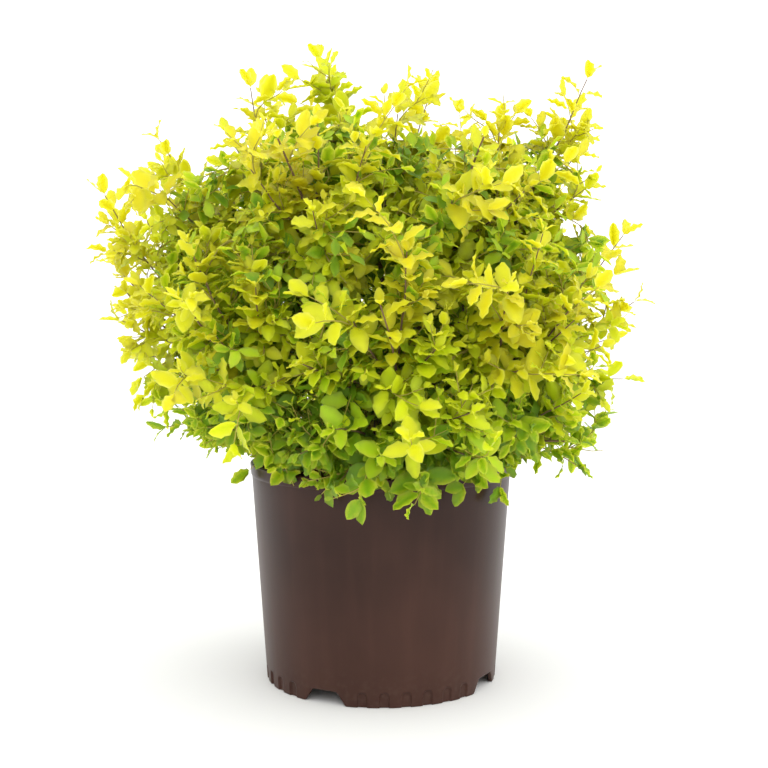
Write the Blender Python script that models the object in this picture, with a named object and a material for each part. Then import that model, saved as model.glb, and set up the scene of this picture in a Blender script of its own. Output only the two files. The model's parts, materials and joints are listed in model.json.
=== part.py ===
# Potted golden Chinese privet, as it stands on a nursery bench: a fluted pot filled with
# potting mix, a short forked trunk, boughs in four tiers, and at the end of each bough
# a mass of twigs and leaves that keeps to its own sector of the crown.
# Metres, +Z up. The origin is the centre of the pot's flat foot and the front faces -Y.
# Azimuths are degrees from the front, growing towards +X; elevations are from level.

import math
import random

import bmesh
import bpy
from mathutils import Vector

GAP = 0.0003

# Pot, a three gallon nursery pot
POT_HEIGHT = 0.2325
POT_TOP_RADIUS = 0.1400
POT_FOOT_RADIUS = 0.1232
POT_SEGMENTS = 48
WALL_THICKNESS = 0.0022
BAND_HEIGHT = 0.0120
BAND_PROUD = 0.0010
BAND_SHOULDER = 0.0008
LIP_WIDTH = 0.0040
LIP_CHAMFER = 0.0010
SKIRT_THICKNESS = 0.0036
FLOOR_HEIGHT = 0.0185
FLOOR_THICKNESS = 0.0030
PAD_RADIUS = 0.0715
PAD_FLARE = 0.0050

# Drain notches and flutes round the pot's foot
NOTCH_COUNT = 4
NOTCH_AZIMUTH = -27.75
NOTCH_FOOT_WIDTH = 0.0480
NOTCH_TOP_WIDTH = 0.0290
NOTCH_HEIGHT = 0.0140
NOTCH_CORNER = 0.0040
FLUTES_PER_QUARTER = 6
FLUTE_PITCH = 10.4
FLUTE_WIDTH = 0.0105
FLUTE_HEIGHT = 0.0158
FLUTE_DEPTH = 0.0016

# Potting mix
SOIL_EDGE_HEIGHT = 0.2045
SOIL_SLOPE_HEIGHT = 0.2075
SOIL_SLOPE_RADIUS = 0.0900
SOIL_MIDDLE_HEIGHT = 0.2085
SOIL_MIDDLE_RADIUS = 0.0300

# Trunk, leaning from its foot to the crown's heart
TRUNK_FOOT = Vector((-0.008, 0.006, SOIL_MIDDLE_HEIGHT + GAP))
TRUNK_TOP = Vector((0.0, 0.0, 0.2560))
TRUNK_FLARE_RADIUS = 0.0165
TRUNK_WAIST_RADIUS = 0.0105
TRUNK_TOP_RADIUS = 0.0085
TRUNK_WAIST_HEIGHT = 0.0120
TRUNK_SIDES = 10
LOW_ARM_DROP = 0.0140

# Boughs
LIMB_SIDES = 6
BOUGH_STEPS = 5
ARM_LENGTH = 0.0260
ARM_STEPS = 2
ARM_SWELL = 1.25
MAIN_BOUGH_RADII = (0.0044, 0.0030)
SIDE_BOUGH_RADII = (0.0031, 0.0023)
SIDE_BOUGH_FORKS = (0.40, 0.66)
FORK_GAP = 0.0004

# Crown: every shoot's reach is measured from the heart
HEART = Vector((0.0, 0.0, 0.2620))
TOP_TIER = {"name": "top", "places": {"": 0}, "elevation": 88, "entry": 0.42}
UPPER_TIER = {
    "name": "upper", "elevation": 57, "entry": 0.40,
    "places": {"left": -90, "front_left": -30, "front_right": 30,
               "right": 90, "back_right": 150, "back_left": -150}}
MIDDLE_TIER = {
    "name": "middle", "elevation": 29, "entry": 0.42,
    "places": {"left": -90, "front_left": -45, "front": 0, "front_right": 45,
               "right": 90, "back_right": 135, "back": 180, "back_left": -135}}
SKIRT_TIER = {
    "name": "skirt", "elevation": 1, "entry": 0.44,
    "places": {"front": 0, "front_right": 60, "back_right": 120,
               "back": 180, "back_left": -120, "front_left": -60}}

# Elevation and reach of the furthest shoots that stand out at the left and right
LEFT_SHOOTS = ((-5, 0.206), (3, 0.250), (16, 0.298), (24, 0.322), (32, 0.368),
               (42, 0.405), (52, 0.422), (70, 0.412), (80, 0.426))
RIGHT_SHOOTS = ((-9, 0.233), (0, 0.250), (12, 0.286), (21, 0.292), (28, 0.325), (39, 0.366),
                (49, 0.357), (54, 0.401), (60, 0.452), (70, 0.378), (81, 0.390))
# Front and back, where the skirt hangs over the pot's rim
FRONT_SHOOTS = ((-17, 0.190), (-8, 0.225), (4, 0.262), (18, 0.300), (34, 0.345),
                (50, 0.385), (66, 0.392), (80, 0.405))
LOWEST_ELEVATION = -17
FILL_SHOOTS = 128
FILL_REACH = (0.84, 0.95)
FILL_APART = 9
OUTLINE_SWING = 9
GOLDEN_ANGLE = 137.508

# Twigs and leaves, which stand for about fifteen real leaves each
STEM_RADII = (0.0024, 0.0018)
TWIG_RADII = (0.0020, 0.0014)
STEM_SIDES = 4
TWIG_SIDES = 3
STEM_STEPS = 4
TWIG_STEPS = 2
LEAF_LENGTH = 0.0540
LEAF_WIDTH = 0.0310
LEAF_THICKNESS = 0.0020
LEAF_ROOT_DEPTH = 0.0001
LEAF_END_SUNK = 0.0040
LEAF_PAST_TWIG = 0.75
LEAF_SPREAD = 52
FILL_PAIR_PLACES = (0.90,)
OUTLINE_PAIR_PLACES = (0.94, 0.74)
LEAF_SIZES = (0.86, 1.06)
LEAF_APART = 0.0170
MOST_ATTEMPTS = 6
WELD = 0.000001
SPACE_CLEARANCE = 0.0009
LIMB_CLEARANCE = 0.0012
RIM_CLEARANCE = 0.0030

# Core inside each mass: rings about its axis, as shares of the crown's reach and of the
# sector's half width there
CORE_SIDES = 7
CORE_RINGS = ((0.51, 0.62), (0.63, 0.96), (0.74, 0.70))
CORE_ENDS = (0.48, 0.79)
CORE_CLEARANCE = 0.0025
CORE_WIDEST_ANGLE = 26
CORE_LUMPS = (0.93, 1.06)
HIDDEN_DEPTH = 0.66
HIDDEN_ANGLE = 13


def clear_scene():
    for item in list(bpy.data.objects):
        bpy.data.objects.remove(item, do_unlink=True)


def make_material(name, colour, roughness):
    material = bpy.data.materials.new(name)
    material.use_nodes = True
    shader = material.node_tree.nodes["Principled BSDF"]
    shader.inputs["Base Color"].default_value = (*colour, 1.0)
    shader.inputs["Roughness"].default_value = roughness
    shader.inputs["Metallic"].default_value = 0.0
    material.diffuse_color = (*colour, 1.0)
    return material


def make_object(name, vertices, faces, material, smooth=False):
    mesh = bpy.data.meshes.new(name)
    mesh.from_pydata([tuple(v) for v in vertices], [], faces)
    mesh.validate()
    built = bpy.data.objects.new(name, mesh)
    bpy.context.scene.collection.objects.link(built)
    mesh.materials.append(material)
    if smooth:
        mesh.shade_smooth()
        mesh.set_sharp_from_angle(angle=math.radians(35))
    return built


# Directions, curves and tubes

def direction(azimuth, elevation):
    turn = math.radians(azimuth)
    rise = math.radians(elevation)
    return Vector((math.sin(turn) * math.cos(rise), -math.cos(turn) * math.cos(rise),
                   math.sin(rise)))


def curve_point(curve, share):
    start, middle, end = curve
    return start * (1 - share) ** 2 + middle * (2 * share * (1 - share)) + end * share ** 2


def curve_run(curve, share):
    """The curve's direction at a share of its length, as long as its speed there."""
    start, middle, end = curve
    return ((middle - start) * (1 - share) + (end - middle) * share) * 2


def spread_shares(steps, first=0.0, last=1.0):
    return [first + (last - first) * i / steps for i in range(steps + 1)]


def tapered(radii, steps):
    return [radii[0] + (radii[1] - radii[0]) * i / steps for i in range(steps + 1)]


def tube(points, runs, radii, sides):
    """Vertices and faces of a closed tube; each ring is square to the run at its point."""
    vertices = []
    side = runs[0].orthogonal()
    for point, run, radius in zip(points, runs, radii):
        ahead = run.normalized()
        side = (side - ahead * side.dot(ahead)).normalized()
        across = ahead.cross(side)
        for k in range(sides):
            turn = 2 * math.pi * k / sides
            vertices.append(point + (side * math.cos(turn) + across * math.sin(turn)) * radius)
    faces = []
    for i in range(len(points) - 1):
        for k in range(sides):
            a = i * sides + k
            b = i * sides + (k + 1) % sides
            faces.append((a, b, b + sides, a + sides))
    faces.append(tuple(reversed(range(sides))))
    faces.append(tuple(range(len(vertices) - sides, len(vertices))))
    return vertices, faces


def curve_tube(curve, radii, steps, sides, first=0.0, last=1.0):
    shares = spread_shares(steps, first, last)
    points = [curve_point(curve, share) for share in shares]
    runs = [curve_run(curve, share) for share in shares]
    return tube(points, runs, tapered(radii, steps), sides)


def lathe(profile, segments):
    """Vertices and faces of a turned body; its profile leaves the axis below and ends above."""
    rings = []
    vertices = []
    for radius, height in profile:
        if radius == 0:
            rings.append([len(vertices)] * segments)
            vertices.append(Vector((0, 0, height)))
            continue
        rings.append([len(vertices) + k for k in range(segments)])
        for k in range(segments):
            turn = 2 * math.pi * k / segments
            vertices.append(Vector((radius * math.cos(turn), radius * math.sin(turn), height)))
    faces = []
    for lower, upper in zip(rings, rings[1:]):
        for k in range(segments):
            j = (k + 1) % segments
            corners = [lower[k], lower[j], upper[j], upper[k]]
            faces.append(tuple(dict.fromkeys(corners)))
    return vertices, faces


# Pot and potting mix

def wall_radius(height):
    top = POT_TOP_RADIUS - BAND_PROUD
    return POT_FOOT_RADIUS + (top - POT_FOOT_RADIUS) * height / POT_HEIGHT


def inner_radius(height):
    return wall_radius(height) - WALL_THICKNESS


def floor_profile(gap):
    """Inside floor of the pot from the axis to the wall, raised by the gap."""
    pad = PAD_RADIUS - FLOOR_THICKNESS - gap
    return [(0, FLOOR_THICKNESS + gap), (pad, FLOOR_THICKNESS + gap),
            (pad + PAD_FLARE, FLOOR_HEIGHT + gap),
            (inner_radius(FLOOR_HEIGHT) - gap, FLOOR_HEIGHT + gap)]


def pot_profile():
    band_foot = POT_HEIGHT - BAND_HEIGHT
    ceiling = FLOOR_HEIGHT - FLOOR_THICKNESS
    inside = floor_profile(0) + [
        (inner_radius(POT_HEIGHT - LIP_CHAMFER), POT_HEIGHT - LIP_CHAMFER),
        (POT_TOP_RADIUS - LIP_WIDTH + LIP_CHAMFER, POT_HEIGHT)]
    outside = [
        (POT_TOP_RADIUS - LIP_CHAMFER, POT_HEIGHT),
        (POT_TOP_RADIUS, POT_HEIGHT - LIP_CHAMFER),
        (wall_radius(band_foot) + BAND_PROUD, band_foot),
        (wall_radius(band_foot - BAND_SHOULDER), band_foot - BAND_SHOULDER),
        (POT_FOOT_RADIUS, 0)]
    underside = [
        (POT_FOOT_RADIUS - SKIRT_THICKNESS, 0),
        (POT_FOOT_RADIUS - SKIRT_THICKNESS, ceiling),
        (PAD_RADIUS + PAD_FLARE, ceiling),
        (PAD_RADIUS, 0), (0, 0)]
    return inside + outside + underside


def foot_cutter(outline, azimuth, inner, outer):
    """A prism through the pot's foot: the outline is (across, height) pairs."""
    out = direction(azimuth, 0)
    across = Vector((-out.y, out.x, 0))
    vertices = []
    for reach in (inner, outer):
        for offset, height in outline:
            vertices.append(out * reach(height) + across * offset + Vector((0, 0, height)))
    count = len(outline)
    faces = [tuple(reversed(range(count))), tuple(range(count, 2 * count))]
    faces += [(i, (i + 1) % count, (i + 1) % count + count, i + count) for i in range(count)]
    return vertices, faces


def notch_outline():
    """Slanted notch, its top corners rounded in three steps."""
    below = 0.004
    half_foot = NOTCH_FOOT_WIDTH / 2
    half_top = NOTCH_TOP_WIDTH / 2
    slant = (half_foot - half_top) / NOTCH_HEIGHT
    right = [(half_foot + slant * below, -below),
             (half_top + slant * NOTCH_CORNER, NOTCH_HEIGHT - NOTCH_CORNER),
             (half_top, NOTCH_HEIGHT - NOTCH_CORNER * 0.3),
             (half_top - NOTCH_CORNER, NOTCH_HEIGHT)]
    return right + [(-x, z) for x, z in reversed(right)]


def flute_outline():
    """Arch-topped flute: straight sides under a half round."""
    below = 0.004
    radius = FLUTE_WIDTH / 2
    spring = FLUTE_HEIGHT - radius
    arch = [(radius * math.cos(a), spring + radius * math.sin(a))
            for a in (math.pi * k / 4 for k in range(5))]
    return [(radius, -below)] + arch + [(-radius, -below)]


def build_pot():
    plastic = make_material("pot_plastic", (0.066, 0.036, 0.029), 0.55)
    vertices, faces = lathe(pot_profile()[::-1], POT_SEGMENTS)
    pot = make_object("pot", vertices, faces, plastic, smooth=True)
    cut_vertices = []
    cut_faces = []

    def add(shape):
        start = len(cut_vertices)
        cut_vertices.extend(shape[0])
        cut_faces.extend(tuple(i + start for i in face) for face in shape[1])

    for n in range(NOTCH_COUNT):
        azimuth = NOTCH_AZIMUTH + n * 360 / NOTCH_COUNT
        add(foot_cutter(notch_outline(), azimuth, lambda z: POT_FOOT_RADIUS * 0.9,
                        lambda z: POT_FOOT_RADIUS * 1.05))
        for k in range(FLUTES_PER_QUARTER):
            offset = (k - (FLUTES_PER_QUARTER - 1) / 2) * FLUTE_PITCH
            add(foot_cutter(flute_outline(), azimuth + 180 / NOTCH_COUNT + offset,
                            lambda z: wall_radius(z) - FLUTE_DEPTH,
                            lambda z: wall_radius(z) + FLUTE_DEPTH * 2))
    cutter = make_object("pot_foot_cutter", cut_vertices, cut_faces, plastic)
    cutter.hide_render = True
    cutter.display_type = "WIRE"
    cut = pot.modifiers.new("foot cuts", "BOOLEAN")
    cut.operation = "DIFFERENCE"
    cut.solver = "EXACT"
    cut.object = cutter


def build_soil():
    mix = make_material("potting_mix", (0.030, 0.018, 0.011), 0.95)
    profile = floor_profile(GAP) + [
        (inner_radius(SOIL_EDGE_HEIGHT) - GAP, SOIL_EDGE_HEIGHT),
        (SOIL_SLOPE_RADIUS, SOIL_SLOPE_HEIGHT),
        (SOIL_MIDDLE_RADIUS, SOIL_MIDDLE_HEIGHT), (0, SOIL_MIDDLE_HEIGHT)]
    vertices, faces = lathe(profile, POT_SEGMENTS // 2)
    make_object("soil", vertices, faces, mix, smooth=True)


# The crown's plan

def blend_table(table, elevation):
    if elevation <= table[0][0]:
        return table[0][1]
    for (low, first), (high, second) in zip(table, table[1:]):
        if elevation <= high:
            return first + (second - first) * (elevation - low) / (high - low)
    return table[-1][1]


def crown_reach(azimuth, elevation):
    """How far shoots reach that way: front and back blend round to left and right."""
    sideways = math.sin(math.radians(azimuth))
    side_table = RIGHT_SHOOTS if sideways > 0 else LEFT_SHOOTS
    share = sideways ** 2
    return (blend_table(side_table, elevation) * share
            + blend_table(FRONT_SHOOTS, elevation) * (1 - share))


def reach_along(toward):
    azimuth = math.degrees(math.atan2(toward.x, -toward.y))
    return crown_reach(azimuth, math.degrees(math.asin(max(-1.0, min(1.0, toward.z)))))


def plan_masses():
    masses = []
    for tier in (TOP_TIER, UPPER_TIER, MIDDLE_TIER, SKIRT_TIER):
        for place, azimuth in tier["places"].items():
            elevation = tier["elevation"]
            masses.append({
                "name": f"{tier['name']}_{place}" if place else tier["name"],
                "tier": tier["name"], "azimuth": azimuth, "elevation": elevation,
                "axis": direction(azimuth, elevation),
                "reach": crown_reach(azimuth, elevation),
                "entry": tier["entry"], "shoots": []})
    return masses


def crown_shoots():
    """Azimuth, elevation, reach and leaf places of every shoot besides the masses' leaders."""
    shoots = []
    for azimuth, table in ((-90, LEFT_SHOOTS), (90, RIGHT_SHOOTS)):
        for n, (elevation, reach) in enumerate(table):
            swing = OUTLINE_SWING if n % 2 else -OUTLINE_SWING
            shoots.append((azimuth + swing, elevation, reach, OUTLINE_PAIR_PLACES))
    outline = [direction(azimuth, elevation) for azimuth, elevation, _, _ in shoots]
    chance = random.Random(11)
    lowest = math.sin(math.radians(LOWEST_ELEVATION))
    for k in range(FILL_SHOOTS):
        rise = 1 - (1 - lowest) * (k + 0.5) / FILL_SHOOTS
        elevation = math.degrees(math.asin(rise))
        azimuth = (k * GOLDEN_ANGLE) % 360 - 180
        reach = crown_reach(azimuth, elevation) * chance.uniform(*FILL_REACH)
        toward = direction(azimuth, elevation)
        if min(toward.angle(other) for other in outline) > math.radians(FILL_APART):
            shoots.append((azimuth, elevation, reach, FILL_PAIR_PLACES))
    return shoots


def space_clearance(point, mass, masses):
    """Distance from the point to the nearest border of the mass's sector."""
    offset = point - HEART
    return min(offset.dot((mass["axis"] - other["axis"]).normalized())
               for other in masses if other is not mass)


def deal_shoots(masses):
    for azimuth, elevation, reach, places in crown_shoots():
        toward = direction(azimuth, elevation)
        owner = max(masses, key=lambda mass: mass["axis"].dot(toward))
        owner["shoots"].append((elevation, HEART + toward * reach, places))


def bend_of(elevation):
    """Skirt shoots arch over and hang; the others start flat and turn up."""
    if elevation < 8:
        return 0.16
    return -0.10 * math.sin(math.radians(2 * (elevation - 8)))


# Trunk and boughs

def plan_limbs(masses):
    """The curve of each bough, from the trunk or a main bough to its mass."""
    main = [mass for mass in masses if mass["tier"] != "middle"]
    for mass in main:
        drop = LOW_ARM_DROP if mass["tier"] == "skirt" else 0
        start = TRUNK_TOP - Vector((0, 0, drop))
        end = HEART + mass["axis"] * mass["reach"] * mass["entry"]
        lift = 0.10 if mass["tier"] == "skirt" else -0.10
        middle = (start + end) / 2 + Vector((0, 0, lift * (end - start).length))
        mass["curve"] = (start, middle, end)
        mass["first"] = ARM_LENGTH / (end - start).length
        mass["radii"] = MAIN_BOUGH_RADII
    upper = [mass for mass in masses if mass["tier"] == "upper"]
    forked = []
    for mass in masses:
        if mass["tier"] != "middle":
            continue
        parent = max(upper, key=lambda other: other["axis"].dot(mass["axis"]))
        fork = SIDE_BOUGH_FORKS[forked.count(parent["name"])]
        forked.append(parent["name"])
        start = curve_point(parent["curve"], fork)
        along = curve_run(parent["curve"], fork) * 0.2
        end = HEART + mass["axis"] * mass["reach"] * mass["entry"]
        middle = start + along * 0.6 + (end - start) * 0.35
        mass["curve"] = (start, middle, end)
        mass["first"] = 0.0
        mass["parent"] = parent
        mass["radii"] = SIDE_BOUGH_RADII


def join_all(base, others):
    """One Boolean union of the base with a collection, applied; its largest shell stays."""
    group = bpy.data.collections.new(base.name + "_parts")
    bpy.context.scene.collection.children.link(group)
    for item in others:
        bpy.context.scene.collection.objects.unlink(item)
        group.objects.link(item)
    union = base.modifiers.new("union", "BOOLEAN")
    union.operation = "UNION"
    union.operand_type = "COLLECTION"
    union.collection = group
    union.solver = "EXACT"
    apply_modifiers(base)
    for item in list(group.objects):
        bpy.data.objects.remove(item, do_unlink=True)
    bpy.data.collections.remove(group)
    keep_largest_shell(base)


def apply_modifiers(item):
    graph = bpy.context.evaluated_depsgraph_get()
    mesh = bpy.data.meshes.new_from_object(item.evaluated_get(graph))
    item.modifiers.clear()
    old = item.data
    item.data = mesh
    mesh.name = item.name
    bpy.data.meshes.remove(old)


def shells_of(shape):
    """The separate shells of a mesh, as lists of faces."""
    seen = set()
    shells = []
    for seed in shape.faces:
        if seed in seen:
            continue
        shell = [seed]
        seen.add(seed)
        for face in shell:
            for edge in face.edges:
                for neighbour in edge.link_faces:
                    if neighbour not in seen:
                        seen.add(neighbour)
                        shell.append(neighbour)
        shells.append(shell)
    return shells


def keep_largest_shell(item):
    """Drops loose scraps and fills sealed hollows, which are shells of their own."""
    shape = bmesh.new()
    shape.from_mesh(item.data)
    bmesh.ops.triangulate(shape, faces=shape.faces[:])
    shells = shells_of(shape)

    def spread(shell):
        corners = [v.co for face in shell for v in face.verts]
        return sum(max(c[i] for c in corners) - min(c[i] for c in corners) for i in range(3))

    shells.sort(key=spread)
    extra = [face for shell in shells[:-1] for face in shell]
    bmesh.ops.delete(shape, geom=extra, context="FACES")
    shape.to_mesh(item.data)
    shape.free()


def is_sound(item):
    """True where the mesh stays closed once points closer than the weld are one point."""
    shape = bmesh.new()
    shape.from_mesh(item.data)
    bmesh.ops.remove_doubles(shape, verts=shape.verts[:], dist=WELD)
    sound = all(edge.is_manifold for edge in shape.edges)
    sound = sound and all(vertex.is_manifold for vertex in shape.verts)
    shape.free()
    return sound


def trunk_outline():
    """Points and radii up the trunk: root flare, waist and top."""
    rise = TRUNK_TOP.z - TRUNK_FOOT.z
    heights = (0.0, TRUNK_WAIST_HEIGHT * 0.35, TRUNK_WAIST_HEIGHT, rise)
    radii = (TRUNK_FLARE_RADIUS, TRUNK_FLARE_RADIUS * 0.78, TRUNK_WAIST_RADIUS, TRUNK_TOP_RADIUS)
    points = []
    for height in heights:
        point = TRUNK_FOOT.lerp(TRUNK_TOP, height / rise)
        point.z = TRUNK_FOOT.z + height
        points.append(point)
    lean = TRUNK_TOP - TRUNK_FOOT
    upright = Vector((0, 0, 1))
    return points, [upright, lean, lean, upright], radii


def build_trunk(masses, bark):
    points, runs, radii = trunk_outline()
    trunk = make_object("trunk", *tube(points, runs, radii, TRUNK_SIDES), bark)
    arms = []
    for mass in masses:
        if "parent" in mass:
            continue
        wide = mass["radii"][0]
        shape = curve_tube(mass["curve"], (wide * ARM_SWELL, wide), ARM_STEPS, LIMB_SIDES,
                           0.0, mass["first"])
        arms.append(make_object("arm", *shape, bark))
    join_all(trunk, arms)
    trunk.data.shade_smooth()
    trunk.data.set_sharp_from_angle(angle=math.radians(50))


def bough_tube(mass, grown=0.0):
    """The bough alone, which starts a gap past the trunk's arm, or inside its main bough."""
    first = mass["first"]
    if "parent" not in mass:
        first += GAP / curve_run(mass["curve"], first).length
    radii = [radius + grown for radius in mass["radii"]]
    return curve_tube(mass["curve"], radii, BOUGH_STEPS, LIMB_SIDES, first)


def build_bough(mass, bark):
    bough = make_object("bough_" + mass["name"], *bough_tube(mass), bark)
    if "parent" in mass:
        cutter = make_object("fork", *bough_tube(mass["parent"], FORK_GAP), bark)
        cut = bough.modifiers.new("fork", "BOOLEAN")
        cut.operation = "DIFFERENCE"
        cut.solver = "EXACT"
        cut.object = cutter
        apply_modifiers(bough)
        bpy.data.objects.remove(cutter, do_unlink=True)
        keep_largest_shell(bough)
    bough.data.shade_smooth()
    bough.data.set_sharp_from_angle(angle=math.radians(50))


# Masses

def limb_segments(masses):
    """Every stretch of trunk arm and bough as two points and a radius."""
    segments = []
    for mass in masses:
        points = [curve_point(mass["curve"], share) for share in spread_shares(BOUGH_STEPS)]
        radii = tapered((mass["radii"][0] * ARM_SWELL, mass["radii"][1]), BOUGH_STEPS)
        for i in range(BOUGH_STEPS):
            segments.append((points[i], points[i + 1], radii[i]))
    return segments


def segment_distance(point, start, end):
    run = end - start
    share = max(0.0, min(1.0, (point - start).dot(run) / run.length_squared))
    return (point - start - run * share).length


def is_off_pot(point, slack=0.0):
    margin = RIM_CLEARANCE + slack
    return (point.z > POT_HEIGHT + margin
            or math.hypot(point.x, point.y) > POT_TOP_RADIUS + margin)


def is_clear(points, mass, masses, segments, slack=0.0):
    """True where the points keep to the mass's space, off every limb and off the pot."""
    for point in points:
        if space_clearance(point, mass, masses) < SPACE_CLEARANCE + slack:
            return False
        if not is_off_pot(point, slack):
            return False
        for start, end, radius in segments:
            if segment_distance(point, start, end) < radius + LIMB_CLEARANCE + slack:
                return False
    return True


def leaf_shape(root, along, face, length):
    """A closed leaf of eight faces: root, tip, two margins, and the blade's two sides."""
    across = along.cross(face).normalized()
    face = across.cross(along).normalized()
    scale = length / LEAF_LENGTH
    widest = root + along * length * 0.5
    half_width = across * LEAF_WIDTH / 2 * scale
    half_depth = face * LEAF_THICKNESS / 2
    vertices = [root, root + along * length, widest + half_width, widest - half_width,
                widest + half_depth, widest - half_depth]
    faces = [(0, 2, 4), (2, 1, 4), (1, 3, 4), (3, 0, 4),
             (2, 0, 5), (1, 2, 5), (3, 1, 5), (0, 3, 5)]
    return vertices, faces


def leaf_samples(vertices):
    """Corners and edge middles of a leaf's outline, which the clearances are tested on."""
    root, tip, right, left = vertices[:4]
    middle = (right + left) / 2
    return [tip, right, left, middle, (tip + right) / 2, (tip + left) / 2, (root + right) / 2,
            (root + left) / 2]


def grow_leaves(curve, tip, places, chance):
    """A leaf from the twig's end to the tip, and a pair at each place, turned by a quarter."""
    end = curve[2]
    end_along = (tip - end).normalized()
    outward = (end - HEART).normalized()
    face = outward * 0.4 + Vector((0, 0, 1)) * 0.6
    if abs(face.normalized().dot(end_along)) > 0.93:
        face = Vector((0, -1, 0.3))
    root = end - end_along * LEAF_END_SUNK
    leaves = [(root, end_along, face, (tip - root).length)]
    spin = chance.uniform(0, math.pi)
    spread = math.radians(LEAF_SPREAD)
    for n, place in enumerate(places):
        point = curve_point(curve, place)
        along = curve_run(curve, place).normalized()
        side = along.orthogonal().normalized()
        across = along.cross(side)
        for k in range(2):
            turn = spin + (n / 2 + k) * math.pi
            out = side * math.cos(turn) + across * math.sin(turn)
            lean = (along * math.cos(spread) + out * math.sin(spread)).normalized()
            size = chance.uniform(*LEAF_SIZES) * LEAF_LENGTH
            leaves.append((point + lean * LEAF_ROOT_DEPTH, lean,
                           along * 0.8 + outward * 0.2 - out * 0.5, size))
    return leaves


def core_point(mass, masses, turn, depth, width):
    """A point of the core: a share of the crown's reach, a share of the sector's width."""
    side = mass["axis"].orthogonal().normalized()
    across = mass["axis"].cross(side)
    out = side * math.cos(turn) + across * math.sin(turn)
    angle = math.radians(CORE_WIDEST_ANGLE)
    while angle > 0:
        toward = (mass["axis"] * math.cos(angle) + out * math.sin(angle)).normalized()
        edge = HEART + toward * reach_along(toward) * depth
        above_rim = edge.z > POT_HEIGHT + RIM_CLEARANCE
        if above_rim and space_clearance(edge, mass, masses) > CORE_CLEARANCE:
            break
        angle -= math.radians(1)
    angle *= width
    toward = (mass["axis"] * math.cos(angle) + out * math.sin(angle)).normalized()
    return HEART + toward * reach_along(toward) * depth


def core_shape(mass, masses, chance):
    """A lumpy core of rings about the mass's axis, closed by a point at each end."""
    vertices = [HEART + mass["axis"] * mass["reach"] * CORE_ENDS[0]]
    for n, (depth, width) in enumerate(CORE_RINGS):
        for k in range(CORE_SIDES):
            turn = 2 * math.pi * (k + n / 2) / CORE_SIDES
            lump = chance.uniform(*CORE_LUMPS)
            vertices.append(core_point(mass, masses, turn, depth * lump, width))
    vertices.append(HEART + mass["axis"] * mass["reach"] * CORE_ENDS[1])
    last = len(vertices) - 1
    faces = []
    for k in range(CORE_SIDES):
        j = (k + 1) % CORE_SIDES
        faces.append((0, 1 + j, 1 + k))
        for n in range(len(CORE_RINGS) - 1):
            low = 1 + n * CORE_SIDES
            high = low + CORE_SIDES
            faces.append((low + k, low + j, high + k))
            faces.append((low + j, high + j, high + k))
        high = 1 + (len(CORE_RINGS) - 1) * CORE_SIDES
        faces.append((high + k, high + j, last))
    return vertices, faces


def is_hidden(point, mass):
    """True deep inside the core, where a leaf would not show."""
    offset = point - HEART
    toward = offset.normalized()
    return (offset.length < reach_along(toward) * HIDDEN_DEPTH
            and mass["axis"].angle(toward) < math.radians(HIDDEN_ANGLE))


def twig_curve(root, tip, elevation, share=1.0):
    """A bent way from the root to the tip, less most of the leaf that ends it."""
    end = tip - (tip - root).normalized() * LEAF_LENGTH * LEAF_PAST_TWIG
    lift = Vector((0, 0, bend_of(elevation) * share * (end - root).length))
    return root, (root + end) / 2 + lift, end


def build_mass(mass, masses, segments, foliage):
    """Grows the mass, and grows it again from the next seed where its union is not sound."""
    for attempt in range(MOST_ATTEMPTS):
        chance = random.Random(f"mass {mass['name']} {attempt}")
        stem, leaf_count = grow_mass(mass, masses, segments, foliage, chance)
        if is_sound(stem):
            break
        print(stem.name, "is grown again")
        bpy.data.objects.remove(stem, do_unlink=True)
    return leaf_count


def grow_mass(mass, masses, segments, foliage, chance):
    onward = curve_run(mass["curve"], 1.0).normalized()
    start = mass["curve"][2] + onward * GAP
    crown_point = HEART + mass["axis"] * mass["reach"]
    end = crown_point - mass["axis"] * LEAF_LENGTH * LEAF_PAST_TWIG
    leader = (start, start + onward * (end - start).length * 0.45, end)
    stem = make_object("mass_" + mass["name"],
                       *curve_tube(leader, STEM_RADII, STEM_STEPS, STEM_SIDES), foliage)
    parts = [make_object("core", *core_shape(mass, masses, chance), foliage)]
    leaves = grow_leaves(leader, crown_point, OUTLINE_PAIR_PLACES, chance)
    for elevation, tip, places in mass["shoots"]:
        offset = mass["axis"].angle((tip - HEART).normalized())
        root = curve_point(leader, max(0.10, 0.55 - offset))
        for share in (1.0, 0.5, 0.0):
            twig = twig_curve(root, tip, elevation, share)
            samples = [curve_point(twig, place) for place in (0.25, 0.5, 0.75, 1.0)]
            if is_clear(samples, mass, masses, segments, TWIG_RADII[0]):
                shape = curve_tube(twig, TWIG_RADII, TWIG_STEPS, TWIG_SIDES)
                parts.append(make_object("twig", *shape, foliage))
                leaves += grow_leaves(twig, tip, places, chance)
                break
    kept = []
    for root, along, face, length in leaves:
        vertices, faces = leaf_shape(root, along, face, length)
        centre = vertices[2].lerp(vertices[3], 0.5)
        crowded = any((centre - other).length < LEAF_APART for other in kept)
        if crowded or is_hidden(root, mass):
            continue
        if is_clear(leaf_samples(vertices), mass, masses, segments):
            parts.append(make_object("leaf", vertices, faces, foliage))
            kept.append(centre)
    join_all(stem, parts)
    print(stem.name, "twigs", len(parts) - len(kept), "leaves", len(kept), "of", len(leaves),
          "faces", len(stem.data.polygons))
    return stem, len(kept)


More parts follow.
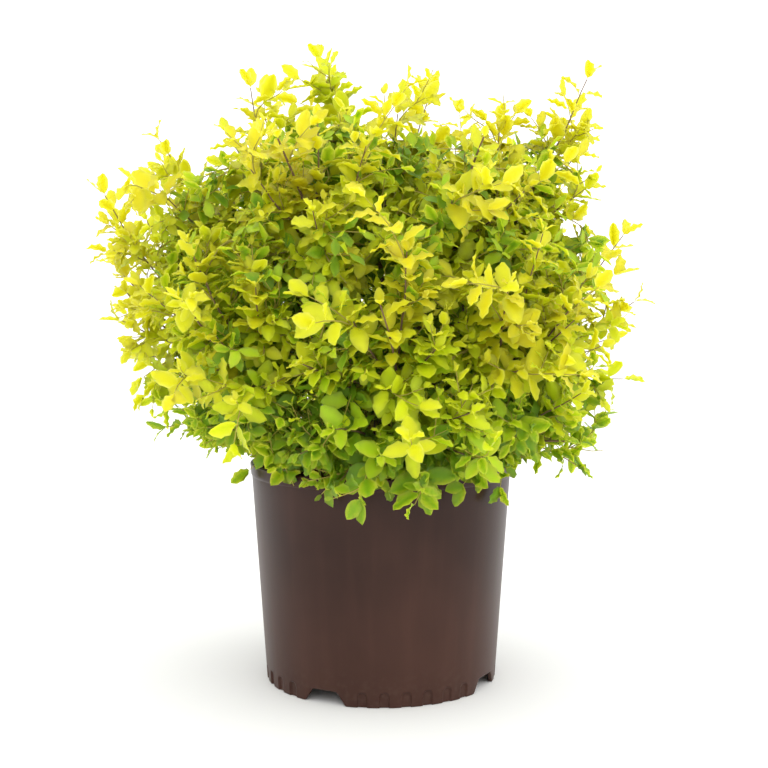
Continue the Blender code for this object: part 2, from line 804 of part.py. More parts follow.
def main():
    clear_scene()
    build_pot()
    build_soil()
    masses = plan_masses()
    deal_shoots(masses)
    plan_limbs(masses)
    bark = make_material("bark", (0.160, 0.100, 0.060), 0.80)
    build_trunk(masses, bark)
    for mass in masses:
        build_bough(mass, bark)
    segments = limb_segments(masses)
    foliage = {
        "top": make_material("foliage_gold", (0.72, 0.64, 0.02), 0.45),
        "upper": make_material("foliage_yellow", (0.62, 0.60, 0.02), 0.45),
        "middle": make_material("foliage_lime", (0.44, 0.54, 0.02), 0.45),
        "skirt": make_material("foliage_green", (0.26, 0.40, 0.02), 0.45)}
    total = 0
    for mass in masses:
        total += build_mass(mass, masses, segments, foliage[mass["tier"]])
    print("leaves in all", total)


main()
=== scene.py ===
import json
import math
import random

import bmesh
import bpy
from mathutils import Matrix, Vector, bvhtree, kdtree, noise

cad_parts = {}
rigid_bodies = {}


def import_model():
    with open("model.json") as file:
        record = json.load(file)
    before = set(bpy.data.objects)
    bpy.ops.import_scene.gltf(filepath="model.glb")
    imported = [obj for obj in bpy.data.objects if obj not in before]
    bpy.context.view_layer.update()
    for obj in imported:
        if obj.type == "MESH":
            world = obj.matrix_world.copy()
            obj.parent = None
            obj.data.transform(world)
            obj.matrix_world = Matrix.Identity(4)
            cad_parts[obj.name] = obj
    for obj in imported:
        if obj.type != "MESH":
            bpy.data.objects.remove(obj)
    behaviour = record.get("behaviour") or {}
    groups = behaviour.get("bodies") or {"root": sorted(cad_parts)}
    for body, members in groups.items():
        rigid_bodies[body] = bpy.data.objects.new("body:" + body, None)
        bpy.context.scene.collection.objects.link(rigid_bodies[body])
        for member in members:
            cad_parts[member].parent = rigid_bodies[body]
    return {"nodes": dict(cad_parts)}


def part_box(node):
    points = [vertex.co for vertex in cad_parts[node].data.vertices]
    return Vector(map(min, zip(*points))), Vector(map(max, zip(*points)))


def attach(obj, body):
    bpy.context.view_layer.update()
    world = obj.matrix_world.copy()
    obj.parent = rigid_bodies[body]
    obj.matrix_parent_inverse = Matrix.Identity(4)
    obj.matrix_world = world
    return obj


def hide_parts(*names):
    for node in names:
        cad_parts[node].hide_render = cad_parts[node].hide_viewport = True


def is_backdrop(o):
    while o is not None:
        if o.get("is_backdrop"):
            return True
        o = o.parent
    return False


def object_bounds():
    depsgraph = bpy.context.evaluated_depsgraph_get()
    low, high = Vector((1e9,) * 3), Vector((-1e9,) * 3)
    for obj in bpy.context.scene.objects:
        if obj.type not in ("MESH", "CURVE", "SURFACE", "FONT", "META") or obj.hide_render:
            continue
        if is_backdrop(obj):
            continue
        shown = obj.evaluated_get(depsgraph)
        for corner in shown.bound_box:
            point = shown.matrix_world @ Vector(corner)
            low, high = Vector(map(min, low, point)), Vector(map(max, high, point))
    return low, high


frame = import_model()
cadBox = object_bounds()
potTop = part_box("pot")[1]
noise.seed_set(5)    # or noise vectors would differ from run to run
print("frame loaded,", len(frame["nodes"]), "nodes")


def fromScreen(*levels):
    # a colour as the eye reads it on a screen, 0 to 255, turned into the light it stands for
    return (*(((c / 255 + 0.055) / 1.055) ** 2.4 if c > 10 else c / 3295 for c in levels), 1)


def blendNumbers(a, b, share):
    return a + (b - a) * share


def smoothStep(value, low, high):
    share = max(0.0, min(1.0, (value - low) / (high - low)))
    return share * share * (3 - 2 * share)


def direction(azimuth, elevation):
    # degrees from the front, growing to the right, and degrees above level
    turn = math.radians(azimuth)
    rise = math.radians(elevation)
    return Vector((math.sin(turn) * math.cos(rise), -math.cos(turn) * math.cos(rise),
                   math.sin(rise)))


def linkObject(name, data):
    made = bpy.data.objects.new(name, data)
    bpy.context.scene.collection.objects.link(made)
    return made


# Node trees written as expressions, for materials and for geometry

class Wire:
    # a node socket that takes part in an expression; with no socket it only starts a tree
    def __init__(self, tree, socket=None):
        self.tree = tree
        self.socket = socket

    def node(self, kind, values=None, output=0, **settings):
        made = self.tree.nodes.new(kind)
        for name, setting in settings.items():
            setattr(made, name, setting)
        for name, value in (values or {}).items():
            if isinstance(value, Wire):
                self.tree.links.new(value.socket, made.inputs[name])
            else:
                made.inputs[name].default_value = value
        return Wire(self.tree, made.outputs[output])

    def maths(self, operation, *values):
        return self.node("ShaderNodeMath", dict(enumerate(values)), operation=operation)

    def vector(self, operation, *values, **named):
        inputs = {**dict(enumerate(values)), **named}
        return self.node("ShaderNodeVectorMath", inputs, operation=operation)

    def mixed(self, a, b):
        # colour a where this is 0, colour b where it is 1
        return self.node("ShaderNodeMix", {0: self, 6: a, 7: b}, 2, data_type="RGBA")

    def ramp(self, low, high):
        # 0 below the low value, 1 above the high one
        return self.node("ShaderNodeMapRange", {0: self, 1: low, 2: high}, interpolation_type="SMOOTHSTEP")

    def clouds(self, scale, detail, roughness=0.5):
        return self.node("ShaderNodeTexNoise", {
            "Vector": self, "Scale": scale, "Detail": detail, "Roughness": roughness})

    def bumped(self, strength, distance):
        return self.node("ShaderNodeBump", {"Height": self, "Strength": strength, "Distance": distance})

    def stored(self, name, kind):
        return self.node("GeometryNodeInputNamedAttribute", {"Name": name}, data_type=kind)

    def chance(self, kind, low, high, seed):
        # a random value for each point
        first = {"FLOAT_VECTOR": 0, "FLOAT": 2, "INT": 4}[kind]
        return self.node("FunctionNodeRandomValue", {first: low, first + 1: high, 8: seed},
                         first // 2, data_type=kind)

    def formsOn(self, points, forms, values):
        # one of a collection's objects on each point
        picks = self.node("GeometryNodeCollectionInfo", {
            "Collection": forms, "Separate Children": True, "Reset Children": True})
        return self.node("GeometryNodeInstanceOnPoints", {
            "Points": points, "Instance": picks, "Pick Instance": True, **values})

    def joined(self, other):
        together = self.node("GeometryNodeJoinGeometry", {0: self})
        self.tree.links.new(other.socket, together.socket.node.inputs[0])
        return together

    def __add__(self, other):
        return self.maths("ADD", self, other)

    __radd__ = __add__

    def __mul__(self, other):
        return self.maths("MULTIPLY", self, other)

    __rmul__ = __mul__

    def __sub__(self, other):
        return self.maths("SUBTRACT", self, other)

    def __rsub__(self, other):
        return self.maths("SUBTRACT", other, self)

    def __lt__(self, other):
        return self.maths("LESS_THAN", self, other)


def plainMaterial(name, sockets):
    # a material whose shader has these values
    material = bpy.data.materials.new(name)
    material.use_nodes = True
    for socket, value in sockets.items():
        material.node_tree.nodes["Principled BSDF"].inputs[socket].default_value = value
    return material


def startMaterial(name, specular):
    # a material, and a wire for the place of each point of a piece
    material = plainMaterial(name, {"Specular IOR Level": specular})
    return material, Wire(material.node_tree).node("ShaderNodeTexCoord", output="Object")


def feedMaterial(material, wires):
    for socket, wire in wires.items():
        wire.tree.links.new(wire.socket, material.node_tree.nodes["Principled BSDF"].inputs[socket])
    return material


def startGeometry(name, inputs):
    # a geometry tree with named inputs, and a wire for each of them
    tree = bpy.data.node_groups.new(name, "GeometryNodeTree")
    tree.interface.new_socket("Geometry", in_out="OUTPUT", socket_type="NodeSocketGeometry")
    for label, kind in {"Geometry": "Geometry", **inputs}.items():
        tree.interface.new_socket(label, in_out="INPUT", socket_type="NodeSocket" + kind)
    given = tree.nodes.new("NodeGroupInput")
    return tree, {socket.name: Wire(tree, socket) for socket in given.outputs if socket.name}


def finishGeometry(geometry, materialWire, isSmooth=False):
    if isSmooth:
        geometry = geometry.node("GeometryNodeSetShadeSmooth", {0: geometry, "Shade Smooth": True})
    loose = geometry.node("GeometryNodeRealizeInstances", {0: geometry})
    painted = loose.node("GeometryNodeSetMaterial", {0: loose, "Material": materialWire})
    result = geometry.tree.nodes.new("NodeGroupOutput")
    geometry.tree.links.new(painted.socket, result.inputs[0])
    return geometry.tree


def growPiece(name, base, tree, values):
    # the base object's geometry, run through the tree, as a plain mesh of its own
    modifier = base.modifiers.new(tree.name, "NODES")
    modifier.node_group = tree
    for item in tree.interface.items_tree:
        if item.in_out == "INPUT" and item.name in values:
            modifier[item.identifier] = values[item.name]
    graph = bpy.context.evaluated_depsgraph_get()
    mesh = bpy.data.meshes.new_from_object(base.evaluated_get(graph), depsgraph=graph)
    bpy.data.objects.remove(base, do_unlink=True)
    mesh.name = name
    return linkObject(name, mesh)


def finishPiece(piece, slot, replaced):
    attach(piece, "root")
    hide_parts(*replaced)
    triangles = sum(len(face.vertices) - 2 for face in piece.data.polygons)
    print(" ", piece.name, triangles, "triangles")


def shapedMesh(name, vertices, faces, work):
    # a mesh of these points and faces, once the work on its shape is done
    mesh = bpy.data.meshes.new(name)
    mesh.from_pydata(vertices, [], faces)
    shape = bmesh.new()
    shape.from_mesh(mesh)
    work(shape)
    bmesh.ops.recalc_face_normals(shape, faces=shape.faces[:])
    shape.to_mesh(mesh)
    shape.free()
    return mesh


# Camera, floor and light

viewpoint = {
    "distance": 1.4,      # from the pot's axis to the lens
    "side": 0.0032,
    "height": 0.4214,
    "tiltDown": 4.36,     # degrees
    "lens": 61.45,
    "sensor": 36.0,
}

studio = {
    "floorSize": 60.0,
    "floorDrop": 0.0002,
    "floorColour": fromScreen(236, 236, 234),
    "floorRoughness": 0.9,
    "skyStrength": 1.47,
    "sunStrength": 1.14,
    "sunSpread": 100,     # degrees across, for soft shadows
    "sunAzimuth": 42,     # from the front towards the right
    "sunElevation": 54,
}


def setStage():
    scene = bpy.context.scene
    scene.view_settings.view_transform = "Standard"
    lens = bpy.data.cameras.new("camera")
    lens.sensor_width = viewpoint["sensor"]
    lens.lens = viewpoint["lens"]
    camera = linkObject("camera", lens)
    camera.location = (viewpoint["side"], -viewpoint["distance"], viewpoint["height"])
    camera.rotation_euler = (math.radians(90 - viewpoint["tiltDown"]), 0, 0)
    scene.camera = camera

    scene.world = bpy.data.worlds.new("studio")
    scene.world.use_nodes = True
    sky = scene.world.node_tree.nodes["Background"].inputs
    sky["Color"].default_value = (1, 1, 1, 1)
    sky["Strength"].default_value = studio["skyStrength"]

    sun = bpy.data.lights.new("key", "SUN")
    sun.energy = studio["sunStrength"]
    sun.angle = math.radians(studio["sunSpread"])
    towardSun = direction(studio["sunAzimuth"], studio["sunElevation"])
    linkObject("key", sun).rotation_euler = towardSun.to_track_quat("Z", "Y").to_euler()

    half = studio["floorSize"] / 2
    corners = [(-half, -half), (half, -half), (half, half), (-half, half)]
    mesh = bpy.data.meshes.new("floor")
    mesh.from_pydata([(x, y, -studio["floorDrop"]) for x, y in corners], [], [(0, 1, 2, 3)])
    mesh.materials.append(plainMaterial("floor", {
        "Base Color": studio["floorColour"], "Roughness": studio["floorRoughness"]}))
    linkObject("floor", mesh)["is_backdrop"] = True


setStage()
print("camera, floor and light set")


# Pot: one closed skin of rings from under its middle, round its wall, to its inside floor

potPlan = {
    "height": potTop.z,
    "topRadius": potTop.x,
    "footRadius": 0.1232,
    "wall": 0.0022,
    "wallColumns": 0.55,      # degrees apart away from the flutes
    "bandHeight": 0.0120,
    "bandProud": 0.0010,
    "shoulder": 0.0022,       # height of the rounded step under the band
    "lipWidth": 0.0040,
    "lipRounding": 0.0013,
    "skirt": 0.0036,          # the foot ring's thickness
    "footRounding": 0.0007,
    "fluteZone": 0.0185,      # rows are closer together below this height
    "floorHeight": 0.0185,
    "floorThickness": 0.0030,
    "padRadius": 0.0715,
    "padFlare": 0.0050,
    "middle": 0.0004,         # radius of the first and the last ring
    "notches": 4,
    "notchAzimuth": -27.75,
    "notchFootWidth": 0.0480,
    "notchTopWidth": 0.0290,
    "notchHeight": 0.0140,
    "notchCorner": 0.0035,
    "flutesPerQuarter": 6,
    "flutePitch": 10.4,       # degrees
    "fluteWidth": 0.0105,
    "fluteHeight": 0.0158,
    "fluteDepth": 0.0019,
    "fluteEdge": 0.0010,
    # places of mesh columns beside a flute's middle, in shares of its half width
    "columnShares": (0.40, 0.68, 0.84, 0.93, 1.02, 1.12, 1.40),
    "body": (0.0228, 0.0067, 0.0035, 1),
    "pale": (0.062, 0.0240, 0.0155, 1),
    "dust": (0.130, 0.088, 0.068, 1),
    "specular": 0.23,
    "roughness": 0.37,
    "grain": 900,
    "streaks": 38,
    "streakStretch": 0.10,
    "clouds": 9.0,
    "speckle": 160,
    "paintedCrownShade": (0.010, 0.190),      # heights between which the wall darkens upwards: painted shade of the crown over the pot's upper part
    "dusty": (0.004, 0.050),
    "relief": (0.16, 0.0006),
}


def wallRadius(height):
    top = potPlan["topRadius"] - potPlan["bandProud"]
    return blendNumbers(potPlan["footRadius"], top, height / potPlan["height"])


def rowHeights(low, high, rows):
    return [blendNumbers(low, high, n / rows) for n in range(1, rows)]


def wallRows(low, high, rows, outward=0.0):
    # (radius, height) of rows up or down the wall
    return [(wallRadius(h) + outward, h) for h in rowHeights(low, high, rows)]


def arcPoints(radius, height, rounding, first, steps):
    # a quarter of an arc, from this angle in degrees from outwards to up
    turns = [math.radians(first + 90 * (n / steps)) for n in range(steps + 1)]
    return [(radius + rounding * math.cos(a), height + rounding * math.sin(a)) for a in turns]


def potProfile():
    size = potPlan
    foot, edge = size["footRadius"], size["footRounding"]
    lip, pad = size["lipRounding"], size["padRadius"]
    skirtInside = foot - size["skirt"]
    floor = size["floorHeight"]
    ceiling = floor - size["floorThickness"]
    top = size["height"]
    bandFoot = top - size["bandHeight"]
    step = size["shoulder"]
    lipInside = size["topRadius"] - size["lipWidth"]
    profile = [(size["middle"], 0.0), (pad * 0.5, 0.0), (pad - 0.001, 0.0), (pad + 0.0005, 0.0006),
               (pad + size["padFlare"], ceiling), (skirtInside - 0.001, ceiling),
               (skirtInside, ceiling - 0.001)]
    profile += [(skirtInside, height) for height in rowHeights(ceiling - 0.001, edge, 8)]
    profile += arcPoints(skirtInside + edge, edge, edge, 180, 3)
    profile += arcPoints(foot - edge, edge, edge, 270, 3)
    profile += wallRows(edge, size["fluteZone"], 24)
    profile += wallRows(size["fluteZone"], bandFoot - step, 12)
    profile += [(wallRadius(bandFoot - step), bandFoot - step),
                (wallRadius(bandFoot - step / 2) - 0.0002, bandFoot - step / 2),
                (wallRadius(bandFoot) + size["bandProud"] * 0.35, bandFoot - 0.0005),
                (wallRadius(bandFoot) + size["bandProud"] * 0.85, bandFoot)]
    profile += wallRows(bandFoot, top - lip, 5, size["bandProud"])
    profile += arcPoints(size["topRadius"] - lip, top - lip, lip, 0, 5)
    profile += arcPoints(lipInside + lip, top - lip, lip, 90, 5)
    profile += wallRows(top - 0.008, floor + 0.002, 12, -size["wall"])
    floorRadius = wallRadius(floor) - size["wall"]
    return profile + [(floorRadius, floor + 0.001), (floorRadius - 0.002, floor),
                      (pad + size["padFlare"], floor), (pad - 0.002, size["floorThickness"]),
                      (size["middle"], size["floorThickness"])]


def quarterOffset(azimuth, first):
    # degrees from the nearest of the places that stand at this azimuth in each quarter
    pitch = 360 / potPlan["notches"]
    return (azimuth - first + pitch / 2) % pitch - pitch / 2


def notchLift(azimuth):
    # how high the foot's edge stands at this azimuth
    size = potPlan
    across = abs(math.radians(quarterOffset(azimuth, size["notchAzimuth"]))) * size["footRadius"]
    halfTop = size["notchTopWidth"] / 2
    halfFoot = size["notchFootWidth"] / 2
    top = size["notchHeight"]
    slant = (halfFoot - across) / (halfFoot - halfTop) * top
    # the lower of the slant and the flat top, rounded where they meet
    gap = max(0.0, size["notchCorner"] - abs(slant - top)) / size["notchCorner"]
    return max(0.0, min(slant, top) - gap * gap * size["notchCorner"] / 4)


def fluteDepthAt(azimuth, height):
    size = potPlan
    last = size["flutesPerQuarter"] - 1
    middle = size["notchAzimuth"] + 180 / size["notches"]
    place = quarterOffset(azimuth, middle) / size["flutePitch"] + last / 2
    nearest = max(0, min(last, round(place)))
    across = abs(place - nearest) * math.radians(size["flutePitch"]) * size["footRadius"]
    radius = size["fluteWidth"] / 2
    spring = size["fluteHeight"] - radius
    outside = math.hypot(across, max(0.0, height - spring)) - radius
    return size["fluteDepth"] * (1 - smoothStep(outside, -size["fluteEdge"], 0.0002))


def potPoint(azimuth, radius, height):
    # a point of the profile, lifted where a notch is and pressed in where a flute is
    size = potPlan
    ceiling = size["floorHeight"] - size["floorThickness"]
    isOuter = radius > size["footRadius"] - size["skirt"] * 0.4
    if radius > size["footRadius"] * 0.95 and height < ceiling:
        height += notchLift(azimuth) * (1 - height / ceiling)
    if isOuter and height < size["fluteHeight"] * 1.2:
        radius -= fluteDepthAt(azimuth, height)
    return direction(azimuth, 0) * radius + Vector((0, 0, height))


def potAzimuths():
    # columns close together at the edges of each flute, evenly spread elsewhere
    size = potPlan
    pitch = size["flutePitch"]
    flutes = size["flutesPerQuarter"]
    quarter = 360 / size["notches"]
    halfFlute = math.degrees(size["fluteWidth"] / 2 / size["footRadius"])
    halfGroup = pitch * flutes / 2
    offsets = []
    for n in range(flutes):
        middle = (n - (flutes - 1) / 2) * pitch
        for share in size["columnShares"]:
            offsets += [middle - share * halfFlute, middle + share * halfFlute]
        offsets += [middle, middle + pitch / 2]
    steps = round((quarter - 2 * halfGroup) / size["wallColumns"])
    offsets += [halfGroup + (quarter - 2 * halfGroup) * n / steps for n in range(1, steps + 1)]
    first = size["notchAzimuth"] + quarter / 2
    return [first + k * quarter + offset for k in range(size["notches"]) for offset in sorted(offsets)]


def closedRings(name, rings):
    # one skin through rings of points, with a cap on the first and the last
    columns = len(rings[0])
    faces = []
    for row in range(len(rings) - 1):
        for n in range(columns):
            a = row * columns + n
            b = row * columns + (n + 1) % columns
            faces.append((a, b, b + columns, a + columns))
    last = (len(rings) - 1) * columns
    faces += [tuple(reversed(range(columns))), tuple(range(last, last + columns))]
    mesh = shapedMesh(name, [point for ring in rings for point in ring], faces, pokeCaps)
    mesh.shade_smooth()
    return mesh


def pokeCaps(shape):
    bmesh.ops.poke(shape, faces=[face for face in shape.faces if len(face.verts) > 4])


def potPlastic():
    look = potPlan
    material, where = startMaterial("pot_plastic", look["specular"])
    height = where.node("ShaderNodeSeparateXYZ", {0: where}, "Z")
    stretched = where.node("ShaderNodeMapping", {"Vector": where, "Scale": (1, 1, look["streakStretch"])})
    streaks = stretched.clouds(look["streaks"], 5.0)
    cloud = where.clouds(look["clouds"], 3.0)
    grain = where.clouds(look["grain"], 2.0)
    # painted shade: the wall is paler towards its foot and darker upwards, standing in for the crown's
    # shadow on the pot
    paintedCrownShade = 1 - height.ramp(*look["paintedCrownShade"])
    paleness = streaks.ramp(0.42, 0.72) * 0.22 + cloud.ramp(0.35, 0.70) * 0.25 + paintedCrownShade * 0.42
    nearFoot = 1 - height.ramp(*look["dusty"])
    dust = nearFoot * where.clouds(look["speckle"], 6.0).ramp(0.46, 0.70) * 0.10
    return feedMaterial(material, {
        "Base Color": dust.mixed(paleness.mixed(look["body"], look["pale"]), look["dust"]),
        "Roughness": cloud * 0.10 + streaks * 0.12 + dust * 0.3 + (look["roughness"] - 0.10),
        "Normal": (grain * 0.5 + streaks * 0.8).bumped(*look["relief"])})


pot = linkObject("pot_shell", closedRings("pot_shell", [
    [potPoint(azimuth, radius, height) for azimuth in potAzimuths()] for radius, height in potProfile()]))
pot.data.materials.append(potPlastic())
finishPiece(pot, "pot_plastic", ["pot"])
print("pot made")


# Potting mix: a lumpy surface, strewn with chips of bark by Geometry Nodes

pottingMix = {
    # radius and height from the middle to the wall
    "surface": ((0.0, 0.2085), (0.0300, 0.2085), (0.0900, 0.2075), (0.1347, 0.2045)),
    "gap": 0.0003,            # from the pot's lining
    "columns": 120,
    "rings": 36,
    "lumps": 0.0016,
    "chipForms": 7,
    "chipCorners": 13,
    "chipBulk": (0.5, 0.27, 0.12),
    "chipsPerArea": 26000,    # to the square metre
    "chipSize": (0.0035, 0.0160),
    "chipPastRoom": 1.6,      # chips near the wall are smaller, so none goes through it
    "dark": fromScreen(46, 34, 26),
    "brown": fromScreen(108, 76, 50),
    "pale": fromScreen(166, 140, 108),
    "specular": 0.2,
    "crumbs": 260,
    "grain": 900,
    "relief": (0.6, 0.0012),
    "seed": 5,
}


def mixSurface(radius, turn):
    # a point of the lumpy surface
    for (inside, high), (outside, low) in zip(pottingMix["surface"], pottingMix["surface"][1:]):
        if radius <= outside:
            height = blendNumbers(high, low, (radius - inside) / (outside - inside))
            break
    spot = Vector((radius * math.cos(turn), radius * math.sin(turn), 0))
    lump = noise.noise(spot * 70) + noise.noise(spot * 230) * 0.5
    return spot + Vector((0, 0, height + lump * pottingMix["lumps"]))


def mixMesh():
    size = pottingMix
    columns = size["columns"]
    turns = [2 * math.pi * n / columns for n in range(columns)]
    low = potPlan["floorThickness"] + size["gap"]
    floor = potPlan["floorHeight"] + size["gap"]
    edge, rim = size["surface"][-1]
    lining = potPlan["wall"] + size["gap"]
    body = [(potPlan["middle"], low), (potPlan["padRadius"] - 0.003, low),
            (potPlan["padRadius"] + potPlan["padFlare"], floor), (wallRadius(floor) - lining, floor)]
    body += wallRows(floor, rim - 0.003, 6, -lining)
    rings = [[Vector((r * math.cos(a), r * math.sin(a), h)) for a in turns] for r, h in body]
    room = [0.0] * (len(rings) * columns)
    for n in range(size["rings"]):
        radius = blendNumbers(edge, 0.002, n / (size["rings"] - 1))
        rings.append([mixSurface(radius, turn) for turn in turns])
        room += [edge - radius] * columns
    mesh = closedRings("potting_mix", rings)
    room += [edge] * (len(mesh.vertices) - len(room))
    mesh.attributes.new("room", "FLOAT", "POINT").data.foreach_set("value", room)
    return mesh


def chipForm(name, chance):
    # an angular scrap of bark, one unit long
    corners = [[chance.uniform(-half, half) for half in pottingMix["chipBulk"]]
               for _ in range(pottingMix["chipCorners"])]
    return shapedMesh(name, corners, [], wrapHull)


def wrapHull(shape):
    hull = bmesh.ops.convex_hull(shape, input=shape.verts[:])
    inside = [part for part in hull["geom_interior"] if isinstance(part, bmesh.types.BMVert)]
    bmesh.ops.delete(shape, geom=inside, context="VERTS")


def makeForms(name, meshes):
    # a collection whose objects are picked by number in a geometry tree
    forms = bpy.data.collections.new(name)
    bpy.context.scene.collection.children.link(forms)
    for mesh in meshes:
        forms.objects.link(bpy.data.objects.new(mesh.name, mesh))
    return forms


def clearForms(forms):
    for form in list(forms.objects):
        bpy.data.objects.remove(form, do_unlink=True)
    bpy.data.collections.remove(forms)


def chipTree():
    _, given = startGeometry("bark chips", {
        "Chip forms": "Collection", "Density": "Float", "Smallest": "Float", "Largest": "Float",
        "Past room": "Float", "Seed": "Int", "Mix": "Material"})
    surface = given["Geometry"]
    room = surface.stored("room", "FLOAT")
    strewn = surface.node("GeometryNodeDistributePointsOnFaces", {
        "Mesh": surface, "Density": (1 - (room < 0.001)) * given["Density"], "Seed": given["Seed"]})
    picked = surface.chance("INT", 0, 99, 1)
    turn = surface.chance("FLOAT_VECTOR", (-0.5, -0.5, 0.0), (0.5, 0.5, 6.283), 2)
    size = surface.chance("FLOAT", given["Smallest"], given["Largest"], 3)
    size = size.maths("MINIMUM", size, room * given["Past room"])
    chips = surface.formsOn(strewn, given["Chip forms"], {
        "Instance Index": picked, "Rotation": turn, "Scale": size})
    shade = surface.chance("FLOAT", 0.15, 1.0, 4)
    shaded = surface.node("GeometryNodeStoreNamedAttribute",
                          {"Geometry": chips, "Name": "shade", "Value": shade},
                          data_type="FLOAT", domain="INSTANCE")
    return finishGeometry(surface.joined(shaded), given["Mix"])


def mixMaterial():
    look = pottingMix
    material, where = startMaterial("potting_mix", look["specular"])
    shade = where.node("ShaderNodeAttribute", output=2, attribute_name="shade")
    crumbs = where.clouds(look["crumbs"], 5.0)
    grain = where.clouds(look["grain"], 3.0)
    brownness = shade.ramp(0.10, 0.80) * 0.75 + crumbs.ramp(0.48, 0.66) * 0.35
    paleness = shade.ramp(0.86, 1.0) * 0.8 + crumbs.ramp(0.66, 0.72) * 0.5
    return feedMaterial(material, {
        "Base Color": paleness.mixed(brownness.mixed(look["dark"], look["brown"]), look["pale"]),
        "Roughness": 0.95 - grain * 0.2,
        "Normal": (crumbs + grain * 0.4).bumped(*look["relief"])})


chipChance = random.Random("bark chips")
chipForms = makeForms("chip_forms", [chipForm(f"chip_{n}", chipChance)
                                     for n in range(pottingMix["chipForms"])])
filled = growPiece("potting_mix", linkObject("mix_base", mixMesh()), chipTree(), {
    "Chip forms": chipForms, "Density": pottingMix["chipsPerArea"],
    "Smallest": pottingMix["chipSize"][0], "Largest": pottingMix["chipSize"][1],
    "Past room": pottingMix["chipPastRoom"], "Seed": pottingMix["seed"], "Mix": mixMaterial()})
clearForms(chipForms)
finishPiece(filled, "potting_mix", ["soil"])
print("pot filled")


# Crown's plan, by the same rule and sizes as the source of the solids

heart = Vector((0.0, 0.0, 0.2620))    # the point that the crown's reach is measured from

crown = {
    "trunkTop": Vector((0.0, 0.0, 0.2560)),
    "lowArmDrop": 0.0140,
    "limbArch": 0.10,         # share of its length: low boughs arch up, the others sag
    "entry": {"top": 0.42, "upper": 0.40, "middle": 0.42, "skirt": 0.44},
    "elevation": {"top": 88, "upper": 57, "middle": 29, "skirt": 1},
    "places": {
        "top": {"": 0},
        "upper": {"left": -90, "front_left": -30, "front_right": 30,
                  "right": 90, "back_right": 150, "back_left": -150},
        "middle": {"left": -90, "front_left": -45, "front": 0, "front_right": 45,
                   "right": 90, "back_right": 135, "back": 180, "back_left": -135},
        "skirt": {"front": 0, "front_right": 60, "back_right": 120,
                  "back": 180, "back_left": -120, "front_left": -60},
    },
    # elevation and reach of the furthest shoots at the left, right, and front and back
    "leftShoots": ((-5, 0.206), (3, 0.250), (16, 0.298), (24, 0.322), (32, 0.368),
                   (42, 0.405), (52, 0.422), (70, 0.412), (80, 0.426)),
    "rightShoots": ((-9, 0.233), (0, 0.250), (12, 0.286), (21, 0.292), (28, 0.325),
                    (39, 0.366), (49, 0.357), (54, 0.401), (60, 0.452), (70, 0.378), (81, 0.390)),
    "frontShoots": ((-17, 0.190), (-8, 0.225), (4, 0.262), (18, 0.300), (34, 0.345),
                    (50, 0.385), (66, 0.392), (80, 0.405)),
    "lowestElevation": -17,
    "hangsBelow": 8,          # degrees
    "bend": {"hanging": 0.16, "rising": -0.10},    # share of the shoot's length
    "fillShoots": 128,
    "fillReach": (0.84, 0.95),
    "fillApart": 9,           # degrees from any outline shoot
    "outlineSwing": 9,
    "goldenAngle": 137.508,
    "forks": (0.40, 0.66),    # where middle boughs leave an upper one
}


def curvePoint(curve, share):
    start, middle, end = curve
    return start * (1 - share) ** 2 + middle * (2 * share * (1 - share)) + end * share ** 2


def curveRun(curve, share):
    start, middle, end = curve
    return ((middle - start) * (1 - share) + (end - middle) * share) * 2


def blendTable(table, elevation):
    if elevation <= table[0][0]:
        return table[0][1]
    for (low, first), (high, second) in zip(table, table[1:]):
        if elevation <= high:
            return blendNumbers(first, second, (elevation - low) / (high - low))
    return table[-1][1]


def crownReach(azimuth, elevation):
    sideways = math.sin(math.radians(azimuth))
    sideTable = crown["rightShoots"] if sideways > 0 else crown["leftShoots"]
    return blendNumbers(blendTable(crown["frontShoots"], elevation),
                        blendTable(sideTable, elevation), sideways ** 2)


def anglesOf(toward):
    azimuth = math.degrees(math.atan2(toward.x, -toward.y))
    return azimuth, math.degrees(math.asin(max(-1.0, min(1.0, toward.z))))


def planMasses():
    masses = []
    for tier, places in crown["places"].items():
        for place, azimuth in places.items():
            elevation = crown["elevation"][tier]
            masses.append({
                "name": f"{tier}_{place}" if place else tier, "tier": tier, "shoots": [],
                "axis": direction(azimuth, elevation), "reach": crownReach(azimuth, elevation)})
    return masses


def planLimbs(masses):
    # the bough of each mass; a middle one leaves the upper one nearest to it
    upper = [mass for mass in masses if mass["tier"] == "upper"]
    forked = []
    for mass in sorted(masses, key=lambda mass: mass["tier"] == "middle"):
        end = heart + mass["axis"] * mass["reach"] * crown["entry"][mass["tier"]]
        if mass["tier"] == "middle":
            parent = max(upper, key=lambda other: other["axis"].dot(mass["axis"]))
            fork = crown["forks"][forked.count(parent["name"])]
            forked.append(parent["name"])
            start = curvePoint(parent["limb"], fork)
            along = curveRun(parent["limb"], fork) * 0.2
            middle = start + along * 0.6 + (end - start) * 0.35
        else:
            isLow = mass["tier"] == "skirt"
            start = crown["trunkTop"] - Vector((0, 0, crown["lowArmDrop"] if isLow else 0))
            lift = crown["limbArch"] if isLow else -crown["limbArch"]
            middle = (start + end) / 2 + Vector((0, 0, lift * (end - start).length))
        mass["limb"] = (start, middle, end)
        mass["limbLength"] = (end - start).length


def goldenSpread(count):
    # azimuth and elevation of places spread evenly over the crown, from its top down
    lowest = math.sin(math.radians(crown["lowestElevation"]))
    for k in range(count):
        rise = 1 - (1 - lowest) * (k + 0.5) / count
        yield (k * crown["goldenAngle"]) % 360 - 180, math.degrees(math.asin(rise))


